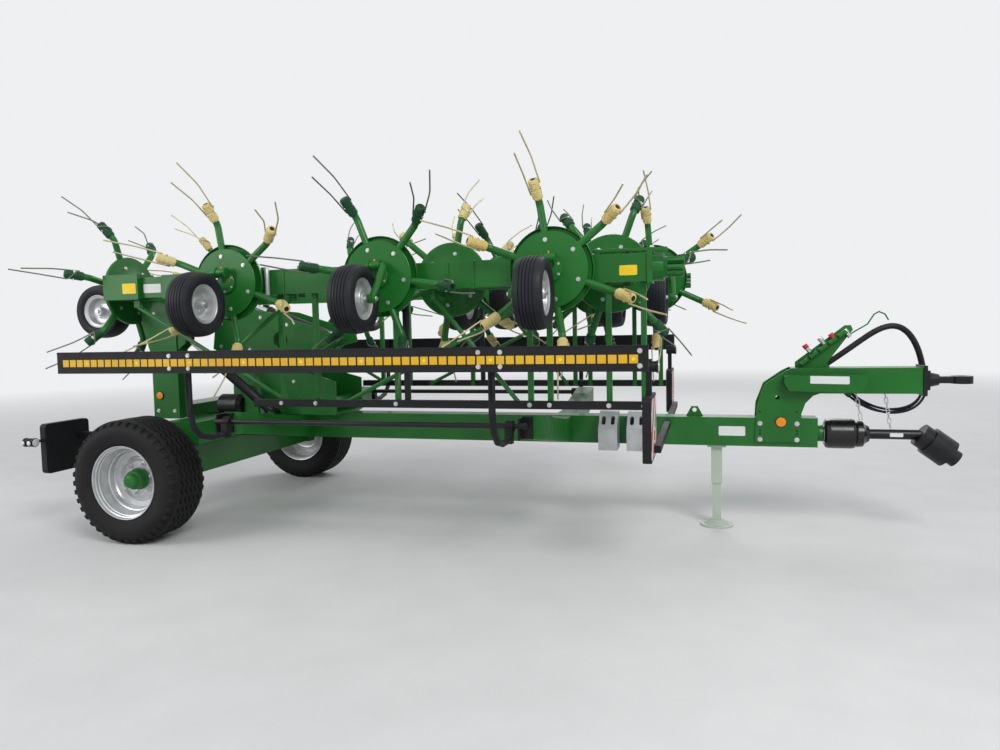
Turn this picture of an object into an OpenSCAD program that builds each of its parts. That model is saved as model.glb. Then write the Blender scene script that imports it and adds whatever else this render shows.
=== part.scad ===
// Trailed rotor tedder with a transport chassis, folded for the road and parked on its jack.
// X runs forward along the drawbar, Y to the machine's left, Z up.
// Sizes are in millimetres. Places along X are measured from the wheels' axle line.

/* [Rotors] */
// Distance between two neighbouring rotor axes
rotor_pitch = 1060; // [1000:10:1090]
// Height of all rotor axes above the ground
rotor_z = 1673; // [1620:1:1720]
// Axle line to the first rotor of a wing
first_rotor_x = 645; // [600:5:700]
// Middle plane to the arms of the wing rotors
wing_arm_y = 930; // [900:1:960]
// Axle line back to the arms of the two rear rotors
rear_arm_x = 484; // [450:1:520]
// Middle plane to the arms of the folded-in rotors
inner_arm_y = 386; // [370:1:420]
// Axle line to the front folded-in rotor on the right
inner_right_x = 3045; // [3020:5:3060]
// Step forward of the folded-in rotors on the left
inner_stagger = 190; // [180:1:210]
// Number of arms on a rotor
arm_count = 6; // [4:1:6]
// Radius of the dished upper disc
disc_r = 245; // [230:1:260]
// Radius of the flat lower plate
plate_r = 215; // [200:1:225]
// Thickness of both discs
disc_t = 6; // [4:0.5:8]
// Height of the turned rim of the upper disc
disc_rim_h = 26; // [15:1:35]
// Diameter of a rotor arm
arm_d = 44; // [38:1:48]
// Radius at which an arm starts to bend
arm_bend_r = 345; // [330:1:360]
// Bend of an arm towards the ground side
arm_bend = 35; // [25:1:40]
// Bend radius of an arm
arm_bend_radius = 110; // [90:5:130]
// Length of the tine holder on an arm
holder_l = 118; // [110:1:125]
// Diameter of the tine holder's collars
holder_d = 62; // [56:1:66]
// Tip radius of the outer tine
outer_tip_r = 712; // [690:1:720]
// Tip radius of the inner tine
inner_tip_r = 596; // [580:1:620]
// Tine tips beyond the arm plane
tip_h = 352; // [340:1:360]
// Diameter of the tine wire
tine_d = 9.5; // [8:0.5:11]
// Radius of the fixed hub inside a rotor
hub_r = 48; // [40:1:55]
// Running clearance between hub and rotor
hub_gap = 0.08; // [0.02:0.01:0.1]
// Turn of the arms of the first wing rotor
first_phase = 39; // [30:1:50]

/* [Foot wheels] */
// Diameter of a foot wheel
foot_d = 400; // [380:1:410]
// Width of a foot wheel
foot_w = 160; // [150:1:165]
// Diameter of a foot wheel's rim flange
foot_rim_d = 228; // [215:1:235]
// Arm plane to the foot wheel's axle
foot_out = 272; // [265:1:280]
// Rotor axis down to the foot wheel's axle
foot_drop = 142; // [130:1:150]
// Foot wheel's middle to the side of the rotor axis
foot_side = 40; // [35:1:45]
// Diameter of a foot wheel's bracket tube
bracket_d = 42; // [36:1:46]
// Radius of a foot wheel's axle
foot_axle_r = 14; // [10:1:18]

/* [Road wheels] */
// Diameter of a road tyre
tyre_d = 810; // [780:1:840]
// Width of a road tyre
tyre_w = 340; // [320:1:360]
// Diameter of a road wheel's rim flange
rim_d = 478; // [450:1:500]
// Middle plane to the middle of a road tyre
half_track = 1075; // [1040:1:1100]
// Radius of a road wheel's hub
wheel_hub_r = 62; // [55:1:70]
// Radius of a road wheel's spindle
spindle_r = 30; // [25:1:36]
// Running gap of the hub on its spindle
spindle_gap = 0.08; // [0.02:0.01:0.1]

/* [Chassis] */
// Width of the main beam
beam_w = 150; // [120:1:180]
// Underside of the main beam above the ground
beam_z = 548; // [530:1:560]
// Height of the main beam
beam_h = 186; // [160:1:200]
// Axle line back to the rear end of the main beam
beam_rear = 330; // [300:1:360]
// Axle line to the front end of the main beam
beam_front = 4290; // [4250:5:4320]
// Wall of the gooseneck's side plates
neck_t = 12; // [8:1:16]
// Underside of the gooseneck's front arm
neck_z = 893; // [880:1:910]
// Height of the gooseneck's front arm
neck_h = 160; // [140:1:180]
// Axle line to the front end of the gooseneck
neck_front = 4880; // [4850:5:4900]
// Bore radius of the drawbar eye
eye_r = 25; // [20:0.5:26]
// Outer radius of the drawbar eye
eye_outer_r = 62; // [55:1:70]
// Thickness of the drawbar eye
eye_t = 45; // [35:1:50]
// Front end of the gooseneck to the middle of the drawbar eye
eye_reach = 230; // [200:5:260]
// Height of the shaft line
pto_z = 630; // [620:1:640]

// Diameter of the rigid part of the drive shaft
shaft_d = 62; // [50:1:70]
// Diameter of the shaft guard
shaft_guard_d = 190; // [170:1:200]
// Length of the shaft guard
shaft_guard_l = 262; // [240:1:280]

// Axle line to the middle of the rear chock holder
chock_x = 2983; // [2970:1:3000]
// Distance between the chock holders
chock_step = 186; // [180:1:200]

/* [Jack] */
// Axle line to the jack
jack_x = 3676; // [3650:1:3700]
// Outer width of the jack's fixed tube
jack_w = 70; // [60:1:80]
// Outer width of the jack's sliding leg
jack_leg_w = 56; // [48:1:60]
// Radius of the jack's foot plate
jack_foot_r = 105; // [90:1:120]

/* [Wings] */
// Middle plane to the middle of a wing beam
wing_y = 780; // [770:1:790]
// Middle plane to the middle of a folded-in beam
inner_y = 536; // [530:1:545]
// Width of a wing beam
wing_w = 120; // [100:1:130]
// Height of a wing beam
wing_h = 160; // [150:1:175]
// Axle line to the rear end of a wing beam
wing_rear = 60; // [40:1:80]
// Axle line to the front end of a wing beam
wing_front = 3385; // [3370:1:3400]

// Height of the guard rails' lower edge above the ground
rail_z = 862; // [850:1:880]
// Height of a guard rail
rail_h = 50; // [40:1:60]
// Thickness of a guard rail
rail_t = 28; // [20:1:34]
// Width of a guard rail's post
post_w = 32; // [26:1:40]

/* [Side boards] */
// Middle plane to the side boards' outer face
board_y = 1455; // [1445:1:1470]
// Lower edge of the side boards above the ground
board_z = 1125; // [1100:1:1140]
// Height of a side board
board_h = 130; // [110:1:140]
// Axle line back to the rear end of the side boards
board_rear = 215; // [180:1:240]
// Axle line to the front end of the side boards
board_front = 3345; // [3300:5:3380]
// Height of the side boards' pivot pipe
pivot_z = 792; // [780:1:800]
// Middle plane to the side boards' pivot pipe
pivot_y = 1060; // [1040:1:1080]
// Diameter of the pivot pipe
pivot_d = 34; // [28:1:40]

/* [Warning panels] */
// Width of a warning panel
panel_w = 370; // [340:5:400]
// Height of a warning panel
panel_h = 340; // [300:5:360]
// Depth of a warning panel's casing
panel_t = 45; // [30:1:60]
// Axle line back to the rear panels
rear_panel_x = 750; // [720:5:800]
// Middle plane to the middle of a rear panel
rear_panel_y = 935; // [900:5:960]
// Lower edge of the rear panels
rear_panel_z = 420; // [400:5:460]
// Axle line to the front panels
front_panel_x = 3345; // [3330:1:3360]
// Middle plane to the middle of a front panel
front_panel_y = 1125; // [1100:5:1150]
// Lower edge of the front panels
front_panel_z = 640; // [620:5:660]

/* [Hoses] */
// Diameter of the hose bundle
bundle_d = 40; // [36:1:50]
// Diameter of the rod that carries the bundle
rod_d = 9; // [6:1:12]

/* [Hidden] */
$fn = 48;
ARM_R = arm_d / 2;
EYE_X = neck_front + eye_reach;
X_FRONT = EYE_X + eye_outer_r;
X_REAR = -(rear_arm_x + foot_out + foot_d / 2);
X_MID = (X_FRONT + X_REAR) / 2;
AXLE_Z = tyre_d / 2;
SEAT_PRESS = 0.2;
SLIDE_GAP = 0.1;
SHAFT_GAP = 0.3;
POST_R = post_w / 2;
PANEL_CORNER = 28;
BEAM_TOP = beam_z + beam_h;
HALF_PITCH = rotor_pitch / 2;
STEP = 360 / arm_count;
UPPER_Z = ARM_R - 3;
BALL_OVER = 0.8;
INNER_LEFT_X = inner_right_x + inner_stagger;
FOLD_LINK_X = inner_right_x + 55;
HOUSING_TOP = UPPER_Z + disc_t + 10;

// Rotor places: name, x, y, turn of its ground side about Z, arm phase, step of its foot wheel to a side,
// side of its foot bracket. A ground side turned 0 looks to the right, -90 to the rear and 180 to the left.
ROTORS = [
    ["right_1", first_rotor_x, -wing_arm_y, 0, first_phase, -1, -1],
    ["right_2", first_rotor_x + rotor_pitch, -wing_arm_y, 0, 90 - first_phase, -1, 1],
    ["right_3", first_rotor_x + 2 * rotor_pitch, -wing_arm_y, 0, first_phase, -1, -1],
    ["right_4", inner_right_x, -inner_arm_y, 180, -10, 1, 1],
    ["right_5", inner_right_x - rotor_pitch, -inner_arm_y, 180, -20, 1, 1],
    ["rear_right", -rear_arm_x, -HALF_PITCH, -90, 12, -1, -1],
    ["rear_left", -rear_arm_x, HALF_PITCH, -90, 18, 1, 1],
    ["left_1", first_rotor_x, wing_arm_y, 180, 19, 1, 1],
    ["left_2", first_rotor_x + rotor_pitch, wing_arm_y, 180, 11, 1, -1],
    ["left_3", first_rotor_x + 2 * rotor_pitch, wing_arm_y, 180, 19, 1, 1],
    ["left_4", INNER_LEFT_X, inner_arm_y, 0, -26, 1, 1],
    ["left_5", INNER_LEFT_X - rotor_pitch, inner_arm_y, 0, -4, 1, 1]
];

// Points along the hose bundle.
HOSE_ROUTE = [
    [4357, 40, 1075], [4405, 40, 1110], [4460, 40, 1150], [4515, 42, 1191], [4570, 45, 1232],
    [4625, 50, 1270], [4680, 56, 1298], [4735, 64, 1310], [4785, 74, 1300], [4830, 86, 1268],
    [4866, 98, 1220], [4894, 110, 1164], [4914, 120, 1104], [4928, 127, 1044], [4936, 130, 990],
    [4939, 131, 940], [4936, 130, 896], [4924, 126, 856], [4900, 118, 822], [4866, 108, 795],
    [4826, 96, 778], [4784, 86, 769], [4742, 76, 766], [4700, 68, 769], [4660, 62, 778],
    [4620, 57, 793], [4584, 53, 812], [4552, 50, 831], [4526, 48, 852], [4500, 46, 875]
];

// Points along the rod that carries the bundle.
ROD_ROUTE = [
    [4404, 6, 1190], [4421, 45, 1218], [4595, 62, 1322], [4634, 66, 1384], [4662, 68, 1399],
    [4697, 72, 1383], [4718, 72, 1345]
];

// Pin of the middle cylinder on the centre beam as X and Z, and its pin on the tower.
TILT_PIN = [60, 1610];
TOWER_PIN = [880, 1300];

// Foot of the two inclined cylinders along X.
RAM_FOOT_X = 555;

// Middles along X of the outriggers that carry the side boards' pivot pipe.
OUTRIGGERS = [660, 2650];

// Moves what is drawn from the axle line to the middle of the machine's length.
module placed() {
    translate([-X_MID, 0, 0]) children();
}

// A round bar from one point to another.
module bar(a, b, d) {
    v = b - a;
    l = norm(v);
    translate(a) rotate([0, acos(v.z / l), atan2(v.y, v.x)]) cylinder(h = l, d = d);
}

// A bent round bar through points, with slightly larger balls at its corners.
module bent_bar(points, d) {
    for (i = [0 : len(points) - 2]) bar(points[i], points[i + 1], d);
    for (i = [1 : len(points) - 2]) translate(points[i]) sphere(d = d + BALL_OVER);
}

function unit(v) = v / norm(v);

// Direction of a route at its point k.
function heading(route, k) = unit(route[min(k + 1, len(route) - 1)] - route[max(k - 1, 0)]);

// Ring of points about a route's point k.
function ring_at(route, k, r, sides) =
    let (h = heading(route, k), across = unit(cross(h, [0, 1, 0])), up = cross(across, h))
    [for (i = [0 : sides - 1]) route[k] + r * (cos(360 * i / sides) * across + sin(360 * i / sides) * up)];

// A closed tube swept along a route.
module tube_along(route, d, sides) {
    last = len(route) - 1;
    rings = [for (k = [0 : last]) each ring_at(route, k, d / 2, sides)];
    walls = [for (k = [0 : last - 1], i = [0 : sides - 1])
        let (a = k * sides + i, b = k * sides + (i + 1) % sides)
        each [[a, b, b + sides], [a, b + sides, a + sides]]];
    polyhedron(rings, concat(walls, [[for (i = [0 : sides - 1]) sides - 1 - i],
        [for (i = [0 : sides - 1]) last * sides + i]]));
}

// A box from its low corner to its high corner.
module block(low, high) {
    translate(low) cube(high - low);
}

// A plate cut from an outline in X and Z, standing at y and t thick.
module side_plate(outline, y, t) {
    translate([0, y + t / 2, 0]) rotate([90, 0, 0]) linear_extrude(t) polygon(outline);
}

// A plate cut from an outline in Y and Z, standing at x and t thick.
module cross_plate(outline, x, t) {
    translate([x - t / 2, 0, 0]) rotate([90, 0, 90]) linear_extrude(t) polygon(outline);
}

// A box with its four corners along X rounded.
module soft_panel(low, high, corner) {
    size = high - low;
    translate([low.x, (low.y + high.y) / 2, (low.z + high.z) / 2]) rotate([90, 0, 90]) linear_extrude(size.x)
        hull() for (a = [-1, 1], b = [-1, 1])
            translate([a * (size.y / 2 - corner), b * (size.z / 2 - corner)]) circle(corner);
}

// Puts a rotor's own frame in place: +Z towards the ground side, +Y up.
module at_rotor(i) {
    r = ROTORS[i];
    translate([r[1], r[2], rotor_z]) rotate([0, 0, r[3]]) rotate([90, 0, 0]) children();
}

// Point on a bent arm at the length s past the bend, as radius and height.
function arm_end(s) = [
    arm_bend_r + arm_bend_radius * sin(arm_bend) + s * cos(arm_bend),
    arm_bend_radius * (1 - cos(arm_bend)) + s * sin(arm_bend)
];

// Wire from a collar to its tip, in the arm's own plane and shifted to its side.
module tine(start, tip, side) {
    knee = start + 0.45 * (tip - start) + [18, -14];
    a = [start.x, side, start.y];
    b = [knee.x, side * 1.1, knee.y];
    c = [tip.x, side * 0.6, tip.y];
    bent_bar([a, b, c], tine_d);
}

module rotor_arm() {
    side = arm_bend_radius * tan(arm_bend / 4);
    knee = [arm_bend_r + side, 0];
    next = knee + 2 * side * [cos(arm_bend / 2), sin(arm_bend / 2)];
    root = arm_end(0);
    foot = arm_end(6);
    bent_bar([[90, 0, 0], [knee.x, 0, knee.y], [next.x, 0, next.y], [foot.x, 0, foot.y]], arm_d);
    translate([root.x, 0, root.y]) rotate([0, 90 - arm_bend, 0]) {
        translate([0, 0, -8]) cylinder(h = holder_l, d = arm_d + 6);
        translate([0, 0, 2]) cylinder(h = 50, d = holder_d);
        translate([0, 0, 62]) cylinder(h = 46, d = holder_d);
        translate([0, 0, 104]) cylinder(h = 14, d = holder_d - 8);
    }
    tine(arm_end(24), [inner_tip_r, tip_h], holder_d / 2 - 2);
    tine(arm_end(96), [outer_tip_r, tip_h - 30], -(holder_d / 2 - 2));
}

module rotor_discs() {
    bore = hub_r + hub_gap;
    low = -UPPER_Z;
    rotate_extrude() polygon([
        [bore, low - disc_t - 5], [bore + 40, low - disc_t - 5], [bore + 56, low - disc_t],
        [disc_r - 12, low - disc_t], [disc_r, low - disc_t + 8], [disc_r, low - disc_t + disc_rim_h],
        [disc_r - disc_t, low - disc_t + disc_rim_h],
        [disc_r - disc_t, low + 4], [disc_r - 16, low], [bore, low]
    ]);
    translate([0, 0, UPPER_Z]) rotate_extrude()
        polygon([[bore, 0], [plate_r, 0], [plate_r, disc_t], [bore + 30, disc_t], [bore + 26, disc_t + 5],
            [bore, disc_t + 5]]);
    rotate_extrude() polygon([
        [bore, -UPPER_Z - 1], [bore + 22, -UPPER_Z - 1], [bore + 22, UPPER_Z + 1], [bore, UPPER_Z + 1]
    ]);
}

module rotor(i) {
    color([0.13, 0.42, 0.18]) placed() at_rotor(i) rotate([0, 0, ROTORS[i][4]]) {
        rotor_discs();
        for (k = [0 : arm_count - 1]) rotate([0, 0, k * STEP]) rotor_arm();
    }
}

// A foot wheel's middle in the rotor's frame, its axle along the frame's X.
function foot_centre(i) = [ROTORS[i][5] * foot_side, -foot_drop, foot_out];

module foot_wheel(i) {
    color([0.1, 0.1, 0.11]) placed() at_rotor(i) translate(foot_centre(i)) rotate([0, 90, 0])
        rotate_extrude() {
            half = foot_w / 2;
            bore = foot_axle_r + hub_gap;
            polygon([
                [bore, -half + 12], [bore + 22, -half + 12], [bore + 22, -12], [foot_rim_d / 2 - 22, -12],
                [foot_rim_d / 2 - 14, -half + 22], [foot_rim_d / 2, -half + 22], [foot_rim_d / 2 + 22, -half + 4],
                [foot_d / 2 - 26, -half], [foot_d / 2 - 6, -half + 16], [foot_d / 2, -half + 40],
                [foot_d / 2, half - 40], [foot_d / 2 - 6, half - 16], [foot_d / 2 - 26, half],
                [foot_rim_d / 2 + 22, half - 4], [foot_rim_d / 2, half - 22], [foot_rim_d / 2 - 14, half - 22],
                [foot_rim_d / 2 - 22, 12], [bore + 22, 12], [bore + 22, half - 12], [bore, half - 12]
            ]);
        }
}

// Fixed hub through the rotor, pivot socket and bent tube down to the foot wheel's axle.
module foot_bracket(i) {
    side = ROTORS[i][6];
    plate_top = UPPER_Z + disc_t;
    axle = foot_centre(i);
    tube_x = axle.x + side * (foot_w / 2 + bracket_d / 2 + 14);
    socket_y = 62;
    at_rotor(i) {
        translate([0, 0, -HOUSING_TOP]) cylinder(h = HOUSING_TOP + plate_top + 14, r = hub_r);
        translate([0, 0, plate_top + 6]) cylinder(h = 10, r = hub_r + 22);
        bar([0, 0, plate_top], [0, socket_y, plate_top + 40], bracket_d);
        bar([-side * 36, socket_y, plate_top + 40], [side * 40, socket_y, plate_top + 40], bracket_d + 12);
        for (x = [-38, 30])
            bar([side * x, socket_y, plate_top + 40], [side * (x + 10), socket_y, plate_top + 40], bracket_d + 24);
        bent_bar([
            [0, socket_y, plate_top + 40], [tube_x - side * 12, socket_y, plate_top + 46],
            [tube_x, axle.y + 40, axle.z - 34], [tube_x, axle.y, axle.z], [tube_x, axle.y - 14, axle.z + 4]
        ], bracket_d);
        bar([tube_x, axle.y, axle.z], [axle.x - side * (foot_w / 2 - 6), axle.y, axle.z], 2 * foot_axle_r);
    }
}

module foot_brackets_right() {
    color([0.2, 0.5, 0.22]) placed() for (i = [0 : 4]) foot_bracket(i);
}

module foot_brackets_rear() {
    color([0.2, 0.5, 0.22]) placed() for (i = [5, 6]) foot_bracket(i);
}

module foot_brackets_left() {
    color([0.2, 0.5, 0.22]) placed() for (i = [7 : 11]) foot_bracket(i);
}

// Gear housing between a beam and a rotor's upper disc, in the rotor's frame.
module gear_housing(beam_gap) {
    translate([0, 0, -HOUSING_TOP - beam_gap]) cylinder(h = beam_gap, r1 = 118, r2 = 88);
}

module wing_beam(side) {
    first = side < 0 ? 0 : 7;
    y = side * wing_y;
    w = wing_w / 2;
    h = wing_h / 2;
    top = rotor_z + h;
    block([wing_rear, y - w, rotor_z - h], [wing_front - 90, y + w, rotor_z + h]);
    block([wing_front - 90, y - w - 14, rotor_z - h - 10], [wing_front - 60, y + w + 14, rotor_z + h + 10]);
    translate([wing_front - 62, y, rotor_z]) rotate([0, 90, 0]) cylinder(h = 62, r = 78);
    translate([wing_front, y, rotor_z]) rotate([0, 90, 0]) cylinder(h = 20, r = 60);
    for (k = [0 : 7]) translate([wing_front + 18, y, rotor_z]) rotate([k * 45, 0, 0])
        block([0, 30, -9], [95, 56, 9]);
    for (k = [0 : 2]) at_rotor(first + k) gear_housing(wing_arm_y - wing_y - w - HOUSING_TOP + 10);
    for (x = [first_rotor_x + 170, first_rotor_x + rotor_pitch - 620, first_rotor_x + 2 * rotor_pitch + 415])
        translate([x, y, rotor_z - h - 22]) cylinder(h = wing_h + 44, r = 22);
    for (x = [first_rotor_x + 340, first_rotor_x + rotor_pitch + 400, first_rotor_x + rotor_pitch + 560])
        block([x, y - w - 5, rotor_z - h - 5], [x + 14, y + w + 5, rotor_z + h + 5]);
    for (s = [-1, 1])
        block([wing_front - 400, y + s * 34 - 11, top + 12], [wing_front + 20, y + s * 34 + 11, top + 30]);
    for (x = [wing_front - 380, wing_front - 76]) block([x, y - 50, top - 1], [x + 24, y + 50, top + 13]);
}

module wing_beam_right() {
    color([0.2, 0.5, 0.22]) placed() wing_beam(-1);
}

module wing_beam_left() {
    color([0.2, 0.5, 0.22]) placed() wing_beam(1);
}

// Folded-in beam: it lies beside the wing beam and hangs on the fold link at its front end.
module inner_beam(side) {
    first = side < 0 ? 3 : 10;
    front = side < 0 ? inner_right_x : INNER_LEFT_X;
    y = side * inner_y;
    w = wing_w / 2;
    h = wing_h / 2;
    block([front - rotor_pitch - 140, y - w, rotor_z - h], [front + 150, y + w, rotor_z + h]);
    for (k = [0 : 1]) at_rotor(first + k) gear_housing(inner_y - w - inner_arm_y - HOUSING_TOP + 10);
    y_low = min(y, side * (wing_y - w));
    y_high = max(y, side * (wing_y - w));
    for (z = [rotor_z + h - 26, rotor_z - h]) block([FOLD_LINK_X, y_low, z], [FOLD_LINK_X + 90, y_high, z + 26]);
}

module inner_beam_right() {
    color([0.2, 0.5, 0.22]) placed() inner_beam(-1);
}

module inner_beam_left() {
    color([0.2, 0.5, 0.22]) placed() inner_beam(1);
}

module centre_beam() {
    h = wing_h / 2;
    beam_back = -(rear_arm_x - HOUSING_TOP - 43);
    beam_face = beam_back + 180;
    low = rotor_z - h;
    color([0.2, 0.5, 0.22]) placed() {
        block([beam_back, -wing_y, low], [beam_face, wing_y, rotor_z + h]);
        for (i = [5, 6]) at_rotor(i) gear_housing(44);
        for (side = [-1, 1]) {
            y = side * wing_y;
            block([beam_back, y - 80, low], [-120, y + 80, rotor_z + h + 12]);
            block([-121, y - 46, low + 10], [wing_rear, y + 46, rotor_z + h - 10]);
            side_plate([[beam_face - 1, low], [beam_face - 1, rotor_z + 40], [TILT_PIN.x + 10, TILT_PIN.y + 45],
                [TILT_PIN.x + 45, TILT_PIN.y + 10], [TILT_PIN.x + 45, TILT_PIN.y - 25],
                [TILT_PIN.x, TILT_PIN.y - 45]], side * 53.4, 14);
        }
    }
}

module lift_tower() {
    low = rotor_z - wing_h / 2;
    color([0.2, 0.5, 0.22]) placed() {
        for (side = [-1, 1]) {
            difference() {
                side_plate([[400, BEAM_TOP], [1000, BEAM_TOP], [1000, 980], [750, 1050], [620, 1180],
                    [980, 1260], [960, 1350], [880, 1370], [470, 1500], [120, 1540], [10, 1440], [-20, 1230],
                    [200, 1130], [370, 1000]], side * 210, 14);
                translate([560, side * 210, 1290]) rotate([90, 0, 0]) cylinder(h = 40, r = 60, center = true);
            }
            translate([TOWER_PIN.x, side * 46.2, TOWER_PIN.y]) rotate([-side * 90, 0, 0])
                cylinder(h = 164, r = 24);
            block([-310, side * 480 - 60, BEAM_TOP], [-90, side * 480 + 60, low]);
            side_plate([[-309, 1180], [-309, low], [-380, low], [-380, 1420]], side * 480, 118);
            for (s = [-1, 1])
                side_plate([[-91, 1230], [-20, 1285], [-20, 1355], [-91, 1410]], side * 480 + s * 44.8, 12);
            block([280, side * 260 - 60, BEAM_TOP], [430, side * 260 + 50, BEAM_TOP + 12]);
            difference() {
                side_plate([[290, BEAM_TOP], [420, BEAM_TOP], [400, 930], [370, 960], [330, 960], [300, 930]],
                    side * 300, 14);
                translate([350, side * 300, 925]) rotate([90, 0, 0]) cylinder(h = 40, r = 15, center = true);
            }
        }
        block([-310, -541, BEAM_TOP], [-90, 541, BEAM_TOP + 90]);
        block([-91, -217, BEAM_TOP], [1000, 217, BEAM_TOP + 12]);
        for (x = [520, 900])
            translate([x, -217, BEAM_TOP + 90]) rotate([-90, 0, 0]) cylinder(h = 434, r = 30);
        translate([170, -217, 1420]) rotate([-90, 0, 0]) cylinder(h = 434, r = 30);
    }
}

// Upper cylinder in the middle and one inclined cylinder on each side.
module tilt_cylinder() {
    color([0.08, 0.08, 0.09]) placed() {
        ram([TOWER_PIN.x, 0, TOWER_PIN.y], [TILT_PIN.x, 0, TILT_PIN.y], 84);
        for (side = [-1, 1]) ram([RAM_FOOT_X, side * 330, BEAM_TOP + 24], [-40, side * 480, 1320], 70);
    }
}

// A cylinder from its foot to its eye, with the bare rod as its last third.
module ram(foot, eye, d) {
    middle = foot + 0.66 * (eye - foot);
    bar(foot, middle, d);
    bar(middle - 0.01 * (eye - foot), eye, 0.5 * d);
    for (end = [foot, eye])
        translate([end.x, end.y - 0.55 * d, end.z]) rotate([-90, 0, 0]) cylinder(h = 1.1 * d, d = 0.9 * d);
}

module chassis_beam() {
    w = beam_w / 2;
    color([0.2, 0.5, 0.22]) placed() {
        block([-beam_rear, -w, beam_z], [beam_front, w, BEAM_TOP]);
        block([-80, -720, beam_z + 30], [200, 720, BEAM_TOP]);
        for (s = [-1, 1]) {
            for (x = OUTRIGGERS) cross_plate([[s * (w - 1), beam_z + 4], [s * (w - 1), BEAM_TOP - 4],
                [s * 235, BEAM_TOP - 4],
                [s * (pivot_y - 96), pivot_z + 50], [s * (pivot_y - 96), pivot_z - 90]], x, 130);
            for (t = [-1, 1]) side_plate([[RAM_FOOT_X - 16, BEAM_TOP - 30], [RAM_FOOT_X - 16, BEAM_TOP + 44],
                [600, BEAM_TOP + 20], [600, BEAM_TOP - 120]], s * 330 + t * 45.4, 12);
        }
        for (x = [3490, 3572]) block([x, -9, BEAM_TOP - 1], [x + 8, 9, BEAM_TOP + 10]);
        difference() {
            side_plate([[3480, BEAM_TOP], [3590, BEAM_TOP], [3555, BEAM_TOP + 64], [3515, BEAM_TOP + 64]],
                0, 18);
            translate([3535, 0, BEAM_TOP + 40]) rotate([90, 0, 0]) cylinder(h = 40, r = 14, center = true);
        }
    }
}

module axle_beam() {
    w = 60;
    hub_in = half_track - 120;
    color([0.2, 0.5, 0.22]) placed() {
        cross_plate([[-hub_in, AXLE_Z - w], [hub_in, AXLE_Z - w], [hub_in, AXLE_Z + w], [hub_in - 240, beam_z],
            [-hub_in + 240, beam_z], [-hub_in, AXLE_Z + w]], 0, 160);
        for (s = [-1, 1]) {
            translate([0, s * hub_in, AXLE_Z]) rotate([-s * 90, 0, 0]) {
                cylinder(h = 12, r = 80);
                cylinder(h = 190, r = spindle_r);
            }
            block([70, s * (hub_in - 60) - 45, AXLE_Z - 50], [150, s * (hub_in - 60) + 45, AXLE_Z + 40]);
        }
    }
}

module tyre(side) {
    half = tyre_w / 2;
    color([0.09, 0.09, 0.1]) placed() translate([0, side * half_track, AXLE_Z]) rotate([90, 0, 0]) rotate_extrude()
        polygon([
            [rim_d / 2 - 8, -half + 42], [rim_d / 2 + 26, -half + 10], [rim_d / 2 + 90, -half], [tyre_d / 2 - 50, -half + 8],
            [tyre_d / 2 - 14, -half + 36], [tyre_d / 2, -half + 70], [tyre_d / 2, half - 70],
            [tyre_d / 2 - 14, half - 36], [tyre_d / 2 - 50, half - 8], [rim_d / 2 + 90, half], [rim_d / 2 + 26, half - 10],
            [rim_d / 2 - 8, half - 42]
        ]);
}

module rim(side) {
    r = rim_d / 2;
    bore = spindle_r + spindle_gap;
    seat = r - 8 + SEAT_PRESS;
    flange = tyre_w / 2 - 24;
    bead = tyre_w / 2 - 42;
    color([0.75, 0.76, 0.78]) placed() translate([0, side * half_track, AXLE_Z]) rotate([side * 90, 0, 0])
        rotate_extrude() polygon([
            [r, -flange], [r, -bead - 8], [seat, -bead], [seat, -100], [r - 30, -78], [r - 30, 60], [seat, 80],
            [seat, bead], [r, bead + 8], [r, flange], [r - 10, flange], [r - 16, bead], [r - 16, 84],
            [r - 38, 64], [r - 38, 34], [r - 110, 44], [wheel_hub_r, 44], [wheel_hub_r, 100], [bore, 100],
            [bore, -40], [wheel_hub_r - 10, -40], [wheel_hub_r, -30], [wheel_hub_r, 30], [r - 110, 30],
            [r - 38, 22], [r - 38, -80], [r - 16, -102], [r - 16, -bead], [r - 10, -flange]
        ]);
}

module tyre_right() {
    tyre(-1);
}

module tyre_left() {
    tyre(1);
}

module rim_right() {
    rim(-1);
}

module rim_left() {
    rim(1);
}

module gooseneck() {
    top = neck_z + neck_h;
    back = beam_front - 380;
    turn = beam_front - 98;
    outline = [
        [back, beam_z + 28], [turn, beam_z + 32], [turn, neck_z - 128], [turn + 23, neck_z - 63],
        [turn + 68, neck_z - 15], [turn + 108, neck_z], [neck_front, neck_z], [neck_front, top], [back + 220, top],
        [back + 175, top - 23], [back + 62, neck_z + 57], [back + 15, neck_z - 71]
    ];
    y = beam_w / 2 + neck_t / 2;
    trough = back + 173;
    color([0.2, 0.5, 0.22]) placed() {
        for (s = [-1, 1]) difference() {
            side_plate(outline, s * y, neck_t);
            translate([back + 139, s * y, neck_z - 27]) rotate([90, 0, 0])
                cylinder(h = 3 * neck_t, r = 14, center = true);
        }
        block([back + 220, -beam_w / 2 - 1, top - 10], [neck_front, beam_w / 2 + 1, top]);
        block([turn + 108, -beam_w / 2 - 1, neck_z], [neck_front, beam_w / 2 + 1, neck_z + 10]);
        difference() {
            side_plate([[trough, neck_z + 70], [trough, neck_z + 112], [trough + 21, neck_z + 118],
                [trough + 457, neck_z + 118], [trough + 478, neck_z + 104], [trough + 478, neck_z + 60],
                [trough + 437, neck_z + 10], [trough + 27, neck_z + 20]], -y - 40, 68);
            side_plate([[trough + 27, neck_z + 60], [trough + 27, neck_z + 130], [trough + 452, neck_z + 130],
                [trough + 452, neck_z + 50]], -y - 40, 60);
        }
        gland(HOSE_ROUTE[0], HOSE_ROUTE[1], 34);
        gland(HOSE_ROUTE[len(HOSE_ROUTE) - 1], HOSE_ROUTE[len(HOSE_ROUTE) - 2], 34);
    }
}

// Short sleeve that a hose route's end leaves, length long.
module gland(end, next, length) {
    bar(end - length * unit(next - end), end, bundle_d + 12);
}

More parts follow.
